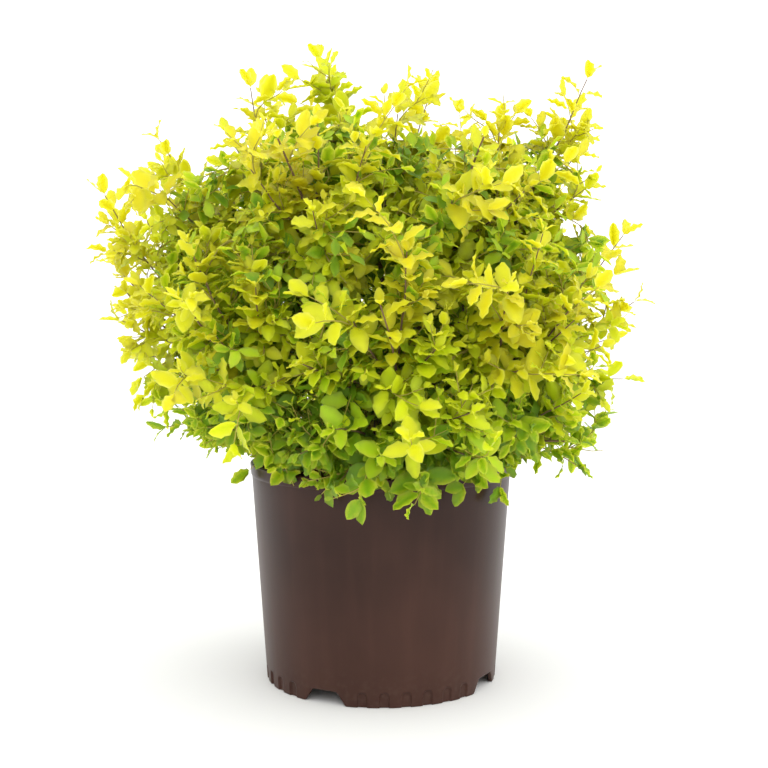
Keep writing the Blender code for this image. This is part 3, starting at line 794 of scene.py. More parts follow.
def crownShoots():
    # azimuth, elevation, reach, and whether the shoot stands out at the side
    shoots = []
    for azimuth, table in ((-90, crown["leftShoots"]), (90, crown["rightShoots"])):
        for n, (elevation, reach) in enumerate(table):
            swing = crown["outlineSwing"] if n % 2 else -crown["outlineSwing"]
            shoots.append((azimuth + swing, elevation, reach, True))
    outline = [direction(azimuth, elevation) for azimuth, elevation, _, _ in shoots]
    chance = random.Random(11)
    for azimuth, elevation in goldenSpread(crown["fillShoots"]):
        reach = crownReach(azimuth, elevation) * chance.uniform(*crown["fillReach"])
        toward = direction(azimuth, elevation)
        if min(toward.angle(other) for other in outline) > math.radians(crown["fillApart"]):
            shoots.append((azimuth, elevation, reach, False))
    return shoots


def dealShoots(masses):
    for azimuth, elevation, reach, standsOut in crownShoots():
        toward = direction(azimuth, elevation)
        owner = max(masses, key=lambda mass: mass["axis"].dot(toward))
        owner["shoots"].append((elevation, heart + toward * reach, standsOut))


def bendOf(elevation):
    # skirt shoots arch over and hang; the others start flat and turn up
    rise = elevation - crown["hangsBelow"]
    if rise < 0:
        return crown["bend"]["hanging"]
    return crown["bend"]["rising"] * math.sin(math.radians(2 * rise))


masses = planMasses()
planLimbs(masses)
dealShoots(masses)
massNodes = ["mass_" + mass["name"] for mass in masses]
print("crown planned,", len(masses), "masses,", sum(len(mass["shoots"]) for mass in masses), "shoots")


# Stems: every bough, shoot, spray and twiglet is one bent line that sways a little

stemPlan = {
    "leaderTaper": 0.30,      # a leader starts as wide as its bough ends
    "leaderOnward": 0.45,     # share of its length in which it goes on along the bough
    "shootRadii": (0.0015, 0.0005),
    "sprayRadii": (0.0009, 0.0004),
    "twigletRadii": (0.0006, 0.0004),
    # the end pair's leaves, which reach the shoot's tip
    "tipLeaf": {"outline": 0.025, "companion": 0.018, "shoot": 0.017, "leader": 0.017},
    "otherTipLeaf": 0.011,
    "sway": 0.030,            # share of the stem's length
    "openShare": 0.93,
    "sprays": 860,
    "sprayReach": (0.55, 0.80),
    "sideDraw": 0.10,         # how much shorter sprays stop at the sides, where shoots stand out
    "sprayLean": 40,          # degrees from the stem that carries it
    "leanSlack": 30,
    # how far a spray goes on along its carrier, then straight, and its lift, in shares of its span
    "sprayCurve": (0.28, 0.22),
    "sprayLift": {"low": 0.10, "high": -0.05},
    "rootPlaces": 14,         # on each stem, where a spray may leave it
    "rootChoices": 60,
    "shortestSpray": 0.035,
    "companions": {"outline": 3, "shoot": 2},    # thin shoots beside each shoot
    "companionReach": (0.80, 0.95),
    "wildShoots": 60,         # that stand out at the front and back
    "wildReach": (0.93, 1.01),
    "wildSpread": 0.72,       # how far round to the sides
    "innerSprays": 480,
    "innerReach": (0.40, 0.66),
    "twiglets": 0.8,          # on each spray, on average
    "twigletLength": (0.018, 0.034),
    "twigletPlace": (0.35, 0.80),
    "twigletLean": (38, 62),
    "twigletLift": 0.15,
    "potClearance": 0.003,
}

# more thin shoots, where the photo shows them: azimuth, elevation and reach
peakShoots = (
    (-84, 10, 0.278), (-97, 6, 0.262), (-92, 13, 0.288), (-82, 34, 0.368), (-98, 37, 0.374),
    (-90, 73, 0.403), (-78, 77, 0.406), (-100, 82, 0.398), (-62, 81, 0.412), (-110, 75, 0.392),
    (90, 83, 0.388), (78, 67, 0.388), (98, 71, 0.376), (84, 57, 0.408), (98, 61, 0.436),
    (80, 2, 0.252), (98, -6, 0.238), (8, 12, 0.272), (-14, 30, 0.322), (24, 44, 0.350),
    (172, 20, 0.290), (-160, 40, 0.352), (150, 46, 0.356), (-148, 12, 0.272), (188, 62, 0.386),
    (-20, 58, 0.384), (18, 68, 0.388), (140, 8, 0.262), (42, 20, 0.290), (-40, 16, 0.284),
    (-72, -13, 0.172), (-110, -12, 0.170), (70, -15, 0.172), (112, -14, 0.172), (10, -20, 0.168),
    (-8, -17, 0.174), (-22, -16, 0.176), (-36, -15, 0.176), (32, -13, 0.182), (180, -16, 0.174),
    (84, -16, 0.180), (100, -15, 0.177), (56, -17, 0.178), (-84, -15, 0.168), (-58, -16, 0.170),
)

# where the photo shows sky inside the outline: azimuth, elevation, spread in degrees, and the
# share of the reach that leaves keep to there
skyGaps = (
    (-90, 61, 11, 0.72), (-90, 84, 9, 0.76), (90, 84, 6, 0.87), (90, 69, 6, 0.87), (90, 51, 6, 0.84),
    (91, 26, 12, 0.62), (-62, -6, 10, 0.78), (91, -1, 8, 0.82), (0, 88, 9, 0.90),
)
underCut = {"from": -4, "to": 12, "depth": 0.33}    # the crown's sides draw in below level


def makeStem(curve, radii, level, chance):
    return {"curve": curve, "radii": radii, "level": level,
            "length": (curve[1] - curve[0]).length + (curve[2] - curve[1]).length,
            "swaySeed": chance.uniform(0, 500)}


def tipLeafOf(level):
    return stemPlan["tipLeaf"].get(level, stemPlan["otherTipLeaf"])


def stemPoint(stem, share):
    wander = noise.noise_vector(Vector((stem["swaySeed"], share * 3.0, 0.5)))
    sway = wander * stem["length"] * stemPlan["sway"] * math.sin(math.pi * share)
    return curvePoint(stem["curve"], share) + sway


def stemRun(stem, share):
    step = 0.04
    return (stemPoint(stem, min(1.0, share + step)) - stemPoint(stem, max(0.0, share - step))).normalized()


def openReach(toward):
    # the crown's reach that way, less where the sky shows
    azimuth, elevation = anglesOf(toward)
    drawnIn = smoothStep(-elevation, underCut["from"], underCut["to"]) * underCut["depth"]
    sideways = smoothStep(abs(math.sin(math.radians(azimuth))), 0.40, 0.80)
    reach = crownReach(azimuth, elevation) * (1 - drawnIn * sideways)
    for gapAzimuth, gapElevation, spread, share in skyGaps:
        angle = math.degrees(toward.angle(direction(gapAzimuth, gapElevation)))
        reach *= blendNumbers(1.0, share, 1 - smoothStep(angle, spread * 0.5, spread))
    return reach


def isOffPot(point):
    # clear of the pot's wall and rim, outside it or above it
    clearance = stemPlan["potClearance"]
    return point.z > potTop.z + clearance or math.hypot(point.x, point.y) > potTop.x + clearance


def growShoots(masses, chance):
    # the leader of each mass and its shoots, which reach the named tips
    stems = []
    for mass in masses:
        onward = curveRun(mass["limb"], 1.0).normalized()
        start = mass["limb"][2]
        reach = min(mass["reach"], openReach(mass["axis"]) * stemPlan["openShare"])
        end = heart + mass["axis"] * (reach - tipLeafOf("leader"))
        leader = (start, start + onward * (end - start).length * stemPlan["leaderOnward"], end)
        wide = wood["boughRadii"][mass["tier"]][1]
        stems.append(makeStem(leader, (wide, wide * stemPlan["leaderTaper"]), "leader", chance))
        for elevation, tip, standsOut in mass["shoots"]:
            toward = (tip - heart).normalized()
            if not standsOut:
                tip = heart + toward * min((tip - heart).length, openReach(toward) * stemPlan["openShare"])
            level = "outline" if standsOut else "shoot"
            root = curvePoint(leader, max(0.10, 0.55 - mass["axis"].angle(toward)))
            end = tip - (tip - root).normalized() * tipLeafOf(level)
            lift = Vector((0, 0, bendOf(elevation) * (end - root).length))
            curve = (root, (root + end) / 2 + lift, end)
            stems.append(makeStem(curve, stemPlan["shootRadii"], level, chance))
    return stems


def bestRoot(tip, carriers, tree):
    # the place on a carrying stem from which a spray would grow most naturally to the tip
    best = None
    for point, index, distance in tree.find_n(tip, stemPlan["rootChoices"]):
        stem, share = carriers[index]
        if distance < stemPlan["shortestSpray"]:
            continue
        lean = math.degrees(stemRun(stem, share).angle((tip - point).normalized()))
        cost = distance * (1 + (abs(lean - stemPlan["sprayLean"]) / stemPlan["leanSlack"]) ** 2)
        if best is None or cost < best[0]:
            best = (cost, stem, share)
    return best


def evenTargets(count, reachRange, chance):
    # tips of sprays, spread evenly over the crown but at uneven depths
    for azimuth, elevation in goldenSpread(count):
        toward = direction(azimuth + chance.uniform(-3, 3), elevation + chance.uniform(-2, 2))
        lump = noise.noise(toward * 4.0) * 0.9 + noise.noise(toward * 9.0) * 0.5 + 0.3
        share = blendNumbers(*reachRange, max(0.0, min(1.0, lump + chance.random() * 0.5)))
        share *= 1 - stemPlan["sideDraw"] * toward.x ** 2
        yield heart + toward * openReach(toward) * share


def companionTargets(stems, chance):
    # tips beside those of the shoots
    for stem in stems:
        tip = stem["curve"][2] - heart
        azimuth, elevation = anglesOf(tip.normalized())
        for n in range(stemPlan["companions"].get(stem["level"], 0)):
            side = 1 if n % 2 else -1
            toward = direction(azimuth + chance.uniform(-6, 6), elevation + side * chance.uniform(2, 6))
            reach = min(tip.length, openReach(toward))
            yield heart + toward * reach * chance.uniform(*stemPlan["companionReach"])


def wildTargets(chance):
    # tips a little past the crown at its front and back, as the outline has them at its sides
    for azimuth, elevation in goldenSpread(stemPlan["wildShoots"]):
        toward = direction(azimuth + chance.uniform(-6, 6), elevation + chance.uniform(-5, 5))
        if abs(toward.x) < stemPlan["wildSpread"] and abs(toward.y) > 0.25:
            yield heart + toward * openReach(toward) * chance.uniform(*stemPlan["wildReach"])


def growSprays(stems, targets, level, chance):
    # a spray to each target, from the best place on a stem near it
    onward, straight = stemPlan["sprayCurve"]
    places = stemPlan["rootPlaces"]
    carriers = [(stem, n / places) for stem in stems for n in range(2, places)]
    tree = kdtree.KDTree(len(carriers))
    for n, (stem, share) in enumerate(carriers):
        tree.insert(stemPoint(stem, share), n)
    tree.balance()
    sprays = []
    for tip in targets:
        found = bestRoot(tip, carriers, tree)
        if not found:
            continue
        _, stem, place = found
        root = stemPoint(stem, place)
        along = stemRun(stem, place)
        span = (tip - root).length
        lift = Vector((0, 0, stemPlan["sprayLift"]["low" if tip.z < heart.z else "high"] * span))
        curve = (root, root + along * span * onward + (tip - root) * straight + lift, tip)
        if all(isOffPot(curvePoint(curve, share)) for share in (0.25, 0.5, 0.75, 1.0)):
            sprays.append(makeStem(curve, stemPlan["sprayRadii"], level, chance))
    return sprays


def besideStem(along, turn, lean):
    # a direction that leans from the stem's own, and the way out from the stem at that turn
    side = along.orthogonal().normalized()
    out = side * math.cos(turn) + along.cross(side) * math.sin(turn)
    return along * math.cos(lean) + out * math.sin(lean), out


def growTwiglets(sprays, chance):
    twiglets = []
    for spray in sprays:
        for _ in range(round(stemPlan["twiglets"] + chance.uniform(-0.8, 0.8))):
            place = chance.uniform(*stemPlan["twigletPlace"])
            root = stemPoint(spray, place)
            turn = chance.uniform(0, 2 * math.pi)
            length = chance.uniform(*stemPlan["twigletLength"])
            lean = math.radians(chance.uniform(*stemPlan["twigletLean"]))
            toward, _ = besideStem(stemRun(spray, place), turn, lean)
            end = root + toward * length + Vector((0, 0, length * stemPlan["twigletLift"]))
            if isOffPot(end):
                curve = (root, root + toward * length * 0.5, end)
                twiglets.append(makeStem(curve, stemPlan["twigletRadii"], "twiglet", chance))
    return twiglets


# Bark and twigs: every stem is a tube swept by Geometry Nodes

wood = {
    "trunkFoot": Vector((-0.0080, 0.0060, 0.2088)),
    # height above the foot and radius; the flare goes on down into the mix
    "trunkRadii": ((-0.0060, 0.0215), (-0.0015, 0.0180), (0.0015, 0.0150), (0.0055, 0.0124),
                   (0.0120, 0.0105), (0.0280, 0.0092), (0.0480, 0.0088)),
    "trunkSway": 0.0012,
    "boughRadii": {"top": (0.0044, 0.0030), "upper": (0.0044, 0.0030), "skirt": (0.0044, 0.0030),
                   "middle": (0.0031, 0.0023)},
    "boughStep": 0.0028,
    "sides": {"trunk": 32, "bough": 14},
    "armSwell": 1.45,
    "armLength": 0.0340,      # of each main bough, fused with the trunk
    "armOverlap": 0.0060,
    "fuseDetail": 0.0009,
    "fuseRounding": 10,
    "boughSway": 0.004,
    "relief": {
        "trunk": {"Depth": 0.0011, "Grain": 300.0, "Stretch": (1.0, 1.0, 0.28)},
        "bough": {"Depth": 0.00055, "Grain": 260.0, "Stretch": (1.0, 1.0, 0.8)},
    },
    "specular": 0.22,
    "bump": (0.7, 0.0005),
    "brown": fromScreen(92, 72, 56),
    "grey": fromScreen(140, 126, 108),
    "pale": fromScreen(182, 168, 146),
    "moss": fromScreen(112, 116, 70),
}

twigLook = {
    # colour, length of a step along a stem, and sides of its tube
    "wood": (fromScreen(122, 98, 74), 0.012, 6),
    "young": (fromScreen(164, 152, 66), 0.014, 4),
    "roughness": 0.62,
    "specular": 0.3,
}


def trunkPath():
    rise = crown["trunkTop"].z - wood["trunkFoot"].z
    path = []
    for height, radius in wood["trunkRadii"]:
        point = wood["trunkFoot"].lerp(crown["trunkTop"], height / rise)
        point += noise.noise_vector(Vector((height * 60, 3.1, 0))) * wood["trunkSway"]
        path.append((point, radius))
    return path


def limbPath(mass, first, last, steps):
    # points along a bough and its radius there, which swells where it leaves the trunk
    wide, slim = wood["boughRadii"][mass["tier"]]
    path = []
    for n in range(steps + 1):
        share = blendNumbers(first, last, n / steps)
        grownOut = smoothStep(share * mass["limbLength"], 0, wood["armLength"])
        swell = 1 + (wood["armSwell"] - 1) * (1 - grownOut)
        wander = noise.noise_vector(Vector((share * 5, mass["axis"].x * 40, mass["axis"].y * 40)))
        sway = wander * wood["boughSway"] * math.sin(math.pi * share)
        path.append((curvePoint(mass["limb"], share) + sway, blendNumbers(wide, slim, share) * swell))
    return path


def stemPaths(stems, stepLength):
    for stem in stems:
        steps = max(3, round(stem["length"] / stepLength))
        yield [(stemPoint(stem, n / steps), blendNumbers(*stem["radii"], n / steps))
               for n in range(steps + 1)]


def growTubes(name, paths, sides, material):
    # a tube along each path of points and radii
    curves = bpy.data.curves.new(name, "CURVE")
    curves.dimensions = "3D"
    for path in paths:
        line = curves.splines.new("POLY")
        line.points.add(len(path) - 1)
        for place, (point, radius) in zip(line.points, path):
            place.co = (*point, 1.0)
            place.radius = radius
    base = linkObject(name + "_paths", curves)
    return growPiece(name, base, twigTubes, {"Sides": sides, "Bark": material})


def twigTree():
    _, given = startGeometry("twig tubes", {"Sides": "Int", "Bark": "Material"})
    start = given["Geometry"]
    ring = start.node("GeometryNodeCurvePrimitiveCircle", {"Resolution": given["Sides"], "Radius": 1.0})
    tubes = start.node("GeometryNodeCurveToMesh", {
        "Curve": start, "Profile Curve": ring, "Scale": start.node("GeometryNodeInputRadius"),
        "Fill Caps": True})
    return finishGeometry(tubes, given["Bark"], True)


def reliefTree():
    # presses a rough bark into a smooth skin
    _, given = startGeometry("bark relief", {
        "Depth": "Float", "Grain": "Float", "Stretch": "Vector", "Bark": "Material"})
    skin = given["Geometry"]
    where = skin.node("GeometryNodeInputPosition")
    outward = skin.node("GeometryNodeInputNormal")
    ridges = where.vector("MULTIPLY", where, given["Stretch"]).clouds(given["Grain"], 4.0, 0.62)
    lift = (ridges + where.clouds(95.0, 1.0) * 0.6 - 0.8) * given["Depth"]
    moved = skin.node("GeometryNodeSetPosition", {
        "Geometry": skin, "Offset": outward.vector("SCALE", outward, Scale=lift)})
    return finishGeometry(moved, given["Bark"], True)


def barkMaterial():
    look = wood
    material, where = startMaterial("bark", look["specular"])
    mottle = where.clouds(85, 6.0)
    pores = 1 - where.node("ShaderNodeTexVoronoi", {"Vector": where, "Scale": 210}).ramp(0.10, 0.24)
    skin = mottle.ramp(0.36, 0.64).mixed(look["brown"], look["grey"])
    skin = (where.clouds(24, 3.0).ramp(0.55, 0.72) * 0.45).mixed(skin, look["moss"])
    return feedMaterial(material, {
        "Base Color": (pores * 0.7).mixed(skin, look["pale"]),
        "Roughness": mottle * 0.2 + 0.66,
        "Normal": (where.clouds(520, 4.0) + pores * 0.8 + mottle * 0.6).bumped(*look["bump"])})


def growTwigs(name, part, stems):
    colour, stepLength, sides = twigLook[part]
    look = plainMaterial("twig_" + part, {
        "Base Color": colour, "Roughness": twigLook["roughness"],
        "Specular IOR Level": twigLook["specular"]})
    finishPiece(growTubes(name, stemPaths(stems, stepLength), sides, look), "bark", massNodes)


growth = random.Random("privet stems")
shoots = growShoots(masses, growth)
peakTips = [heart + direction(azimuth, elevation) * (reach - tipLeafOf("outline"))
            for azimuth, elevation, reach in peakShoots]
peaks = growSprays(shoots, peakTips + list(wildTargets(growth)), "outline", growth)
companions = peaks + growSprays(shoots, companionTargets(shoots, growth), "companion", growth)
outerTargets = evenTargets(stemPlan["sprays"], stemPlan["sprayReach"], growth)
sprays = companions + growSprays(shoots, outerTargets, "spray", growth)
innerTargets = evenTargets(stemPlan["innerSprays"], stemPlan["innerReach"], growth)
innerSprays = growSprays(shoots, innerTargets, "inner", growth)
twiglets = growTwiglets(sprays, growth)
print("stems grown:", len(shoots), "shoots,", len(sprays), "sprays,", len(innerSprays), "inner,",
      len(twiglets), "twiglets")

twigTubes = twigTree()
barkRelief = reliefTree()
bark = barkMaterial()
arms = []
boughs = []
for mass in masses:
    length = mass["limbLength"]
    first = 0.0
    if mass["tier"] != "middle":
        arms.append(limbPath(mass, 0.0, wood["armLength"] / length, 12))
        first = (wood["armLength"] - wood["armOverlap"]) / length
    boughs.append(limbPath(mass, first, 1.0, round(length * (1 - first) / wood["boughStep"])))
trunkSkin = growTubes("trunk_skin", [trunkPath()] + arms, wood["sides"]["trunk"], bark)
fuse = trunkSkin.modifiers.new("fuse", "REMESH")
fuse.mode = "VOXEL"
fuse.voxel_size = wood["fuseDetail"]
rounding = trunkSkin.modifiers.new("rounding", "SMOOTH")
rounding.factor = 0.5
rounding.iterations = wood["fuseRounding"]
trunk = growPiece("trunk_bark", trunkSkin, barkRelief, {**wood["relief"]["trunk"], "Bark": bark})
finishPiece(trunk, "bark", ["trunk"])
boughSkin = growTubes("bough_skin", boughs, wood["sides"]["bough"], bark)
limbs = growPiece("bough_bark", boughSkin, barkRelief, {**wood["relief"]["bough"], "Bark": bark})
finishPiece(limbs, "bark", ["bough_" + mass["name"] for mass in masses])
print("trunk and boughs barked")
growTwigs("twigs_woody", "wood", shoots)


# Leaves: a few blades in their own wavy outline, set on the stems in opposite pairs

leafPlan = {
    "forms": 12,
    # half widths along the blade, in shares of its length; a tree counts the forms by name,
    # so these stand in the order of the alphabet
    "outlines": {
        "full": ((0.0, 0.0), (0.08, 0.022), (0.18, 0.150), (0.32, 0.240), (0.48, 0.272),
                 (0.64, 0.256), (0.79, 0.200), (0.91, 0.112), (1.0, 0.0)),
        "plain": ((0.0, 0.0), (0.14, 0.100), (0.40, 0.262), (0.74, 0.220), (1.0, 0.0)),
        "small": ((0.0, 0.0), (0.09, 0.030), (0.24, 0.195), (0.43, 0.268), (0.64, 0.258),
                  (0.86, 0.160), (1.0, 0.0)),
    },
    # for each kind of stem: outline, length at its first and last pair, spacing, leafy length
    "levels": {
        "outline": ("full", (0.033, 0.027), 0.0160, 0.082),
        "companion": ("full", (0.030, 0.023), 0.0135, 0.070),
        "shoot": ("full", (0.032, 0.025), 0.0130, 0.080),
        "leader": ("full", (0.032, 0.026), 0.0130, 0.080),
        "spray": ("small", (0.025, 0.018), 0.0132, 0.076),
        "twiglet": ("small", (0.020, 0.015), 0.0110, 0.030),
        "inner": ("plain", (0.024, 0.020), 0.0150, 0.066),
    },
    "lengthSpread": (0.80, 1.16),
    "tipSpread": (0.90, 1.06),
    "widthSpread": (0.88, 1.12),
    "arch": (-0.1, 1.1),
    "slimness": (0.84, 1.04),
    "twist": (-0.5, 0.5),
    "fold": (0.06, 0.36),
    "sideLeaf": {"left": 0.93, "right": 1.06},    # smaller at the sides than at the front
    "wave": 0.045,
    "scallop": 0.090,
    "thickness": 0.012,
    "lean": (66, 46),         # degrees from the stem at its first pair and at its last
    "leanSpread": 8,
    "tipLean": 22,
    "facing": {"along": 0.60, "outward": 0.12, "up": 0.60, "inward": 0.35},
    "unevenness": 0.22,
    "halfWidth": 0.27,        # of a blade, in shares of its width, for the tests on it
    "apart": 0.0056,
    "reachSlack": {"outline": 1.12, "companion": 1.04},
    "roughness": 0.52,
    "specular": 0.24,
    "glow": 0.80,             # how much light goes on through a blade
    "glowDepth": 0.0022,
    "mostTriangles": 195000,  # in a piece
    # how bare places are found and filled once the sprays have their leaves
    "fillSteps": ("gaps", "gaps", "hidden", "holes", "holes", "holes"),
    "sightLines": 2600,
    "sightStart": 0.6,        # from the heart, outside the crown
    "deepestGap": 0.54,       # share of the reach
    "gapReach": (0.62, 0.76),
    "gapApart": 0.020,
    "holeSides": 8,
    "holeStep": 0.009,
    "holeColumns": 26,        # of sight lines to each side of the heart
    "holeRows": 38,
    "holeReach": 0.80,
    "holeApart": 0.012,
    "viewSides": 32,          # from which a leaf's tip and middle are looked for
    "clearViews": 2,          # with fewer than this it is left out as hidden
    "skin": 0.0008,           # a line of sight starts this far off its leaf
    # the record's slot and the colour as the photo shows it, from the outermost sprays to the innermost
    "tints": {
        "gold": ("foliage_gold", fromScreen(206, 192, 24)),
        "yellow": ("foliage_yellow", fromScreen(202, 196, 24)),
        "citron": ("foliage_yellow", fromScreen(197, 199, 22)),
        "lime": ("foliage_lime", fromScreen(187, 201, 18)),
        "fresh": ("foliage_lime", fromScreen(177, 199, 18)),
        "green": ("foliage_green", fromScreen(150, 185, 18)),
        "deep": ("foliage_green", fromScreen(100, 142, 16)),
    },
    # how many tints on from the first one a spray is taken
    "tintRule": {
        "start": 0.5,
        "depth": (16.0, 10.0),    # for the whole reach, at the sides and at the top; deeper sprays get darker green tints, partly the plant's own greener inner leaves and partly painted shade
        # painted light: how much golder the side towards the key light is dealt
        "light": 0.3,
        "clumps": 2.2,
        # painted light: golder tints towards the top
        "height": 1.5,
        # painted shade: darker green tints for lower sprays, more so at the sides, and for hanging ones
        "low": 4.4,
        "lowSideShade": 1.8,
        "hanging": 2.2,
        "spread": 0.8,
        "inner": 5.0,             # the least for an inner spray, whose dark deep green is partly painted shade
        "innerMore": 0.8,
        "stemFoot": 1.3,          # more at a spray's first pair than at its tip
        "leafSpread": 0.25,
    },
}


def leafForm(name, outline, chance):
    # a closed blade one unit long: +X to its tip, +Z its upper face
    arch, slimness, twist, fold = (
        chance.uniform(*leafPlan[part]) for part in ("arch", "slimness", "twist", "fold"))
    wave = leafPlan["wave"] * chance.uniform(0.5, 1.4)
    scallop = leafPlan["scallop"] * chance.uniform(0.15, 0.95)
    phases = (chance.choice((-1, 1)), chance.choice((-1, 1)))
    vertices = []
    rows = []
    place = Vector((0, 0, 0))
    before = 0.0
    for n, (share, half) in enumerate(outline):
        pitch = arch * (share - 0.25)
        place = place + Vector((math.cos(pitch), 0, -math.sin(pitch))) * (share - before)
        before = share
        roll = Matrix.Rotation(twist * share, 3, "X")
        lean = Matrix.Rotation(pitch, 3, "Y")
        spots = [place]
        for side, phase in zip((-1, 1), phases):
            swing = phase * (-1) ** n * chance.uniform(0.75, 1.1)
            height = fold * half + wave * swing * min(1.0, half / 0.15)
            width = half * slimness * (1 + scallop * swing)
            spots.append(place + lean @ roll @ Vector((0, side * width, height)))
        spots.append(place + lean @ Vector((0, 0, -leafPlan["thickness"])))
        if half == 0:
            spots = [place]
        rows.append([len(vertices) + min(k, len(spots) - 1) for k in range(4)])
        vertices += spots
    return leafMesh(name, vertices, rows)


def leafMesh(name, vertices, rows):
    # rows of middle, left, right and underside; the rim is a sharp edge
    rim = {index for row in rows for index in row[1:3]}
    faces = []
    for (mid, left, right, under), (mid2, left2, right2, under2) in zip(rows, rows[1:]):
        for corners in ((mid, right, right2, mid2), (left, mid, mid2, left2),
                        (right, under, under2, right2), (under, left, left2, under2)):
            faces.append(tuple(reversed(dict.fromkeys(corners))))

    def sharpenRim(shape):
        bmesh.ops.triangulate(shape, faces=shape.faces[:])
        for edge in shape.edges:
            edge.smooth = not {edge.verts[0].index, edge.verts[1].index} <= rim

    mesh = shapedMesh(name, vertices, faces, sharpenRim)
    mesh.polygons.foreach_set("use_smooth", [True] * len(mesh.polygons))
    return mesh


def makeLeafForms():
    chance = random.Random("leaf forms")
    return makeForms("leaf_forms", [
        leafForm(f"leaf_{kind}_{number:02d}", outline, chance)
        for kind, outline in leafPlan["outlines"].items() for number in range(leafPlan["forms"])])


def leafTree():
    _, given = startGeometry("leaf sprays", {"Leaf forms": "Collection", "Tint": "Material"})
    start = given["Geometry"]
    points = start.node("GeometryNodeMeshToPoints", {"Mesh": start})
    leaves = start.formsOn(points, given["Leaf forms"], {
        "Instance Index": start.stored("form", "INT"), "Rotation": start.stored("turn", "QUATERNION"),
        "Scale": start.stored("size", "FLOAT_VECTOR")})
    return finishGeometry(leaves, given["Tint"])


def leafPoints(name, leaves):
    mesh = bpy.data.meshes.new(name)
    mesh.from_pydata([leaf["root"] for leaf in leaves], [], [])
    for label, kind, field in (("turn", "QUATERNION", "value"), ("size", "FLOAT_VECTOR", "vector"),
                               ("form", "INT", "value")):
        numbers = [number for leaf in leaves for number in leaf[label]]
        mesh.attributes.new(label, kind, "POINT").data.foreach_set(field, numbers)
    return linkObject(name, mesh)


def sprayTint(stem, chance):
    # outer and upper sprays are golden, inner and lower ones green. Besides the plant's own colouring this
    # paints light and shade: the side towards the key light and the top get golder tints as painted light,
    # and lower, hanging and deeper sprays get darker greens as painted shade
    rule = leafPlan["tintRule"]
    tip = stemPoint(stem, 1.0) - heart
    toward = tip.normalized()
    depth = tip.length / crownReach(*anglesOf(toward))
    # painted light: sprays on the side towards the studio's key light are dealt golder tints
    keyLightSide = toward.dot(direction(studio["sunAzimuth"], 35))
    clump = noise.noise(toward * 3.2 + Vector((7.0, 3.0, 1.0)))
    # deeper sprays are dealt darker greens: partly the plant's own colouring, partly painted shade
    shelter = blendNumbers(*rule["depth"], smoothStep(toward.z, 0.0, 0.65))
    # painted shade: lower and hanging sprays are dealt darker green tints
    paintedLowShade = smoothStep(-toward.z, -0.36, 0.10)
    hanging = smoothStep(-toward.z, 0.05, 0.35)
    score = (1.0 - depth) * shelter - keyLightSide * rule["light"] - clump * rule["clumps"]
    # painted light: sprays nearer the top are dealt golder tints
    score -= (toward.z - 0.25) * rule["height"]
    score += paintedLowShade * (rule["low"] + abs(toward.x) * rule["lowSideShade"])
    tint = score + hanging * rule["hanging"] + chance.gauss(0, rule["spread"]) + rule["start"]
    return max(tint, rule["inner"]) + rule["innerMore"] if stem["level"] == "inner" else tint


def setLeaf(stem, point, lean, face, length, shade, chance):
    across = face.cross(lean).normalized()
    width = length * chance.uniform(*leafPlan["widthSpread"])
    kind = leafPlan["levels"][stem["level"]][0]
    forms = leafPlan["forms"]
    form = chance.randrange(forms) + list(leafPlan["outlines"]).index(kind) * forms
    half = point + lean * length * 0.5
    edge = across * width * leafPlan["halfWidth"]
    return {"root": point, "size": (length, width, length), "form": (form,), "kind": kind,
            "turn": Matrix((lean, across, lean.cross(across))).transposed().to_quaternion(),
            "tint": max(0, min(len(leafPlan["tints"]) - 1, math.floor(shade))),
            "samples": [point + lean * length, half + edge, half - edge]}


def leafPairs(stem, chance):
    # pairs up the leafy end of a stem, each pair turned a quarter, smaller towards its tip
    level = stem["level"]
    _, lengths, spacing, leafyLength = leafPlan["levels"][level]
    leafy = min(0.92, leafyLength / stem["length"])
    pairs = max(1, round(leafy * stem["length"] / spacing))
    toward = (stemPoint(stem, 1.0) - heart).normalized()
    sideLeaf = leafPlan["sideLeaf"]["left" if toward.x < 0 else "right"]
    fineness = blendNumbers(1.0, sideLeaf, toward.x ** 2)
    facing, rule = leafPlan["facing"], leafPlan["tintRule"]
    uneven = leafPlan["unevenness"]
    spin = chance.uniform(0, math.pi)
    tint = sprayTint(stem, chance)
    for n in range(pairs + 1):
        place = 1 - leafy + leafy * n / pairs
        point = stemPoint(stem, place)
        along = stemRun(stem, place)
        outward = (point - heart).normalized()
        share = n / pairs
        isTip = n == pairs and level != "inner"
        for k in (0, 1):
            turn = spin + (n / 2 + k) * math.pi + chance.gauss(0, uneven)
            spread = leafPlan["tipLean"]
            if not isTip:
                spread = chance.gauss(blendNumbers(*leafPlan["lean"], share), leafPlan["leanSpread"])
            lean, out = besideStem(along, turn, math.radians(spread))
            length = blendNumbers(*lengths, share ** 1.3) * chance.uniform(*leafPlan["lengthSpread"])
            length *= fineness
            if isTip:
                length = tipLeafOf(level) * chance.uniform(*leafPlan["tipSpread"])
            flutter = Vector([chance.gauss(0, uneven) for _ in range(3)])
            face = along * facing["along"] + outward * facing["outward"] + Vector((0, 0, facing["up"]))
            face = face - out * facing["inward"] + flutter
            shade = tint + (1 - share) * rule["stemFoot"] + chance.gauss(0, rule["leafSpread"])
            yield setLeaf(stem, point, lean.normalized(), face, length, shade, chance)


def isInReach(point, stem):
    # leaves on shoots that stand out keep to the crown's whole reach, the others to its open part
    toward = (point - heart).normalized()
    reach = crownReach(*anglesOf(toward)) if stem["level"] == "outline" else openReach(toward)
    slack = leafPlan["reachSlack"].get(stem["level"], 1.0)
    return (point - heart).length <= reach * slack + 0.001


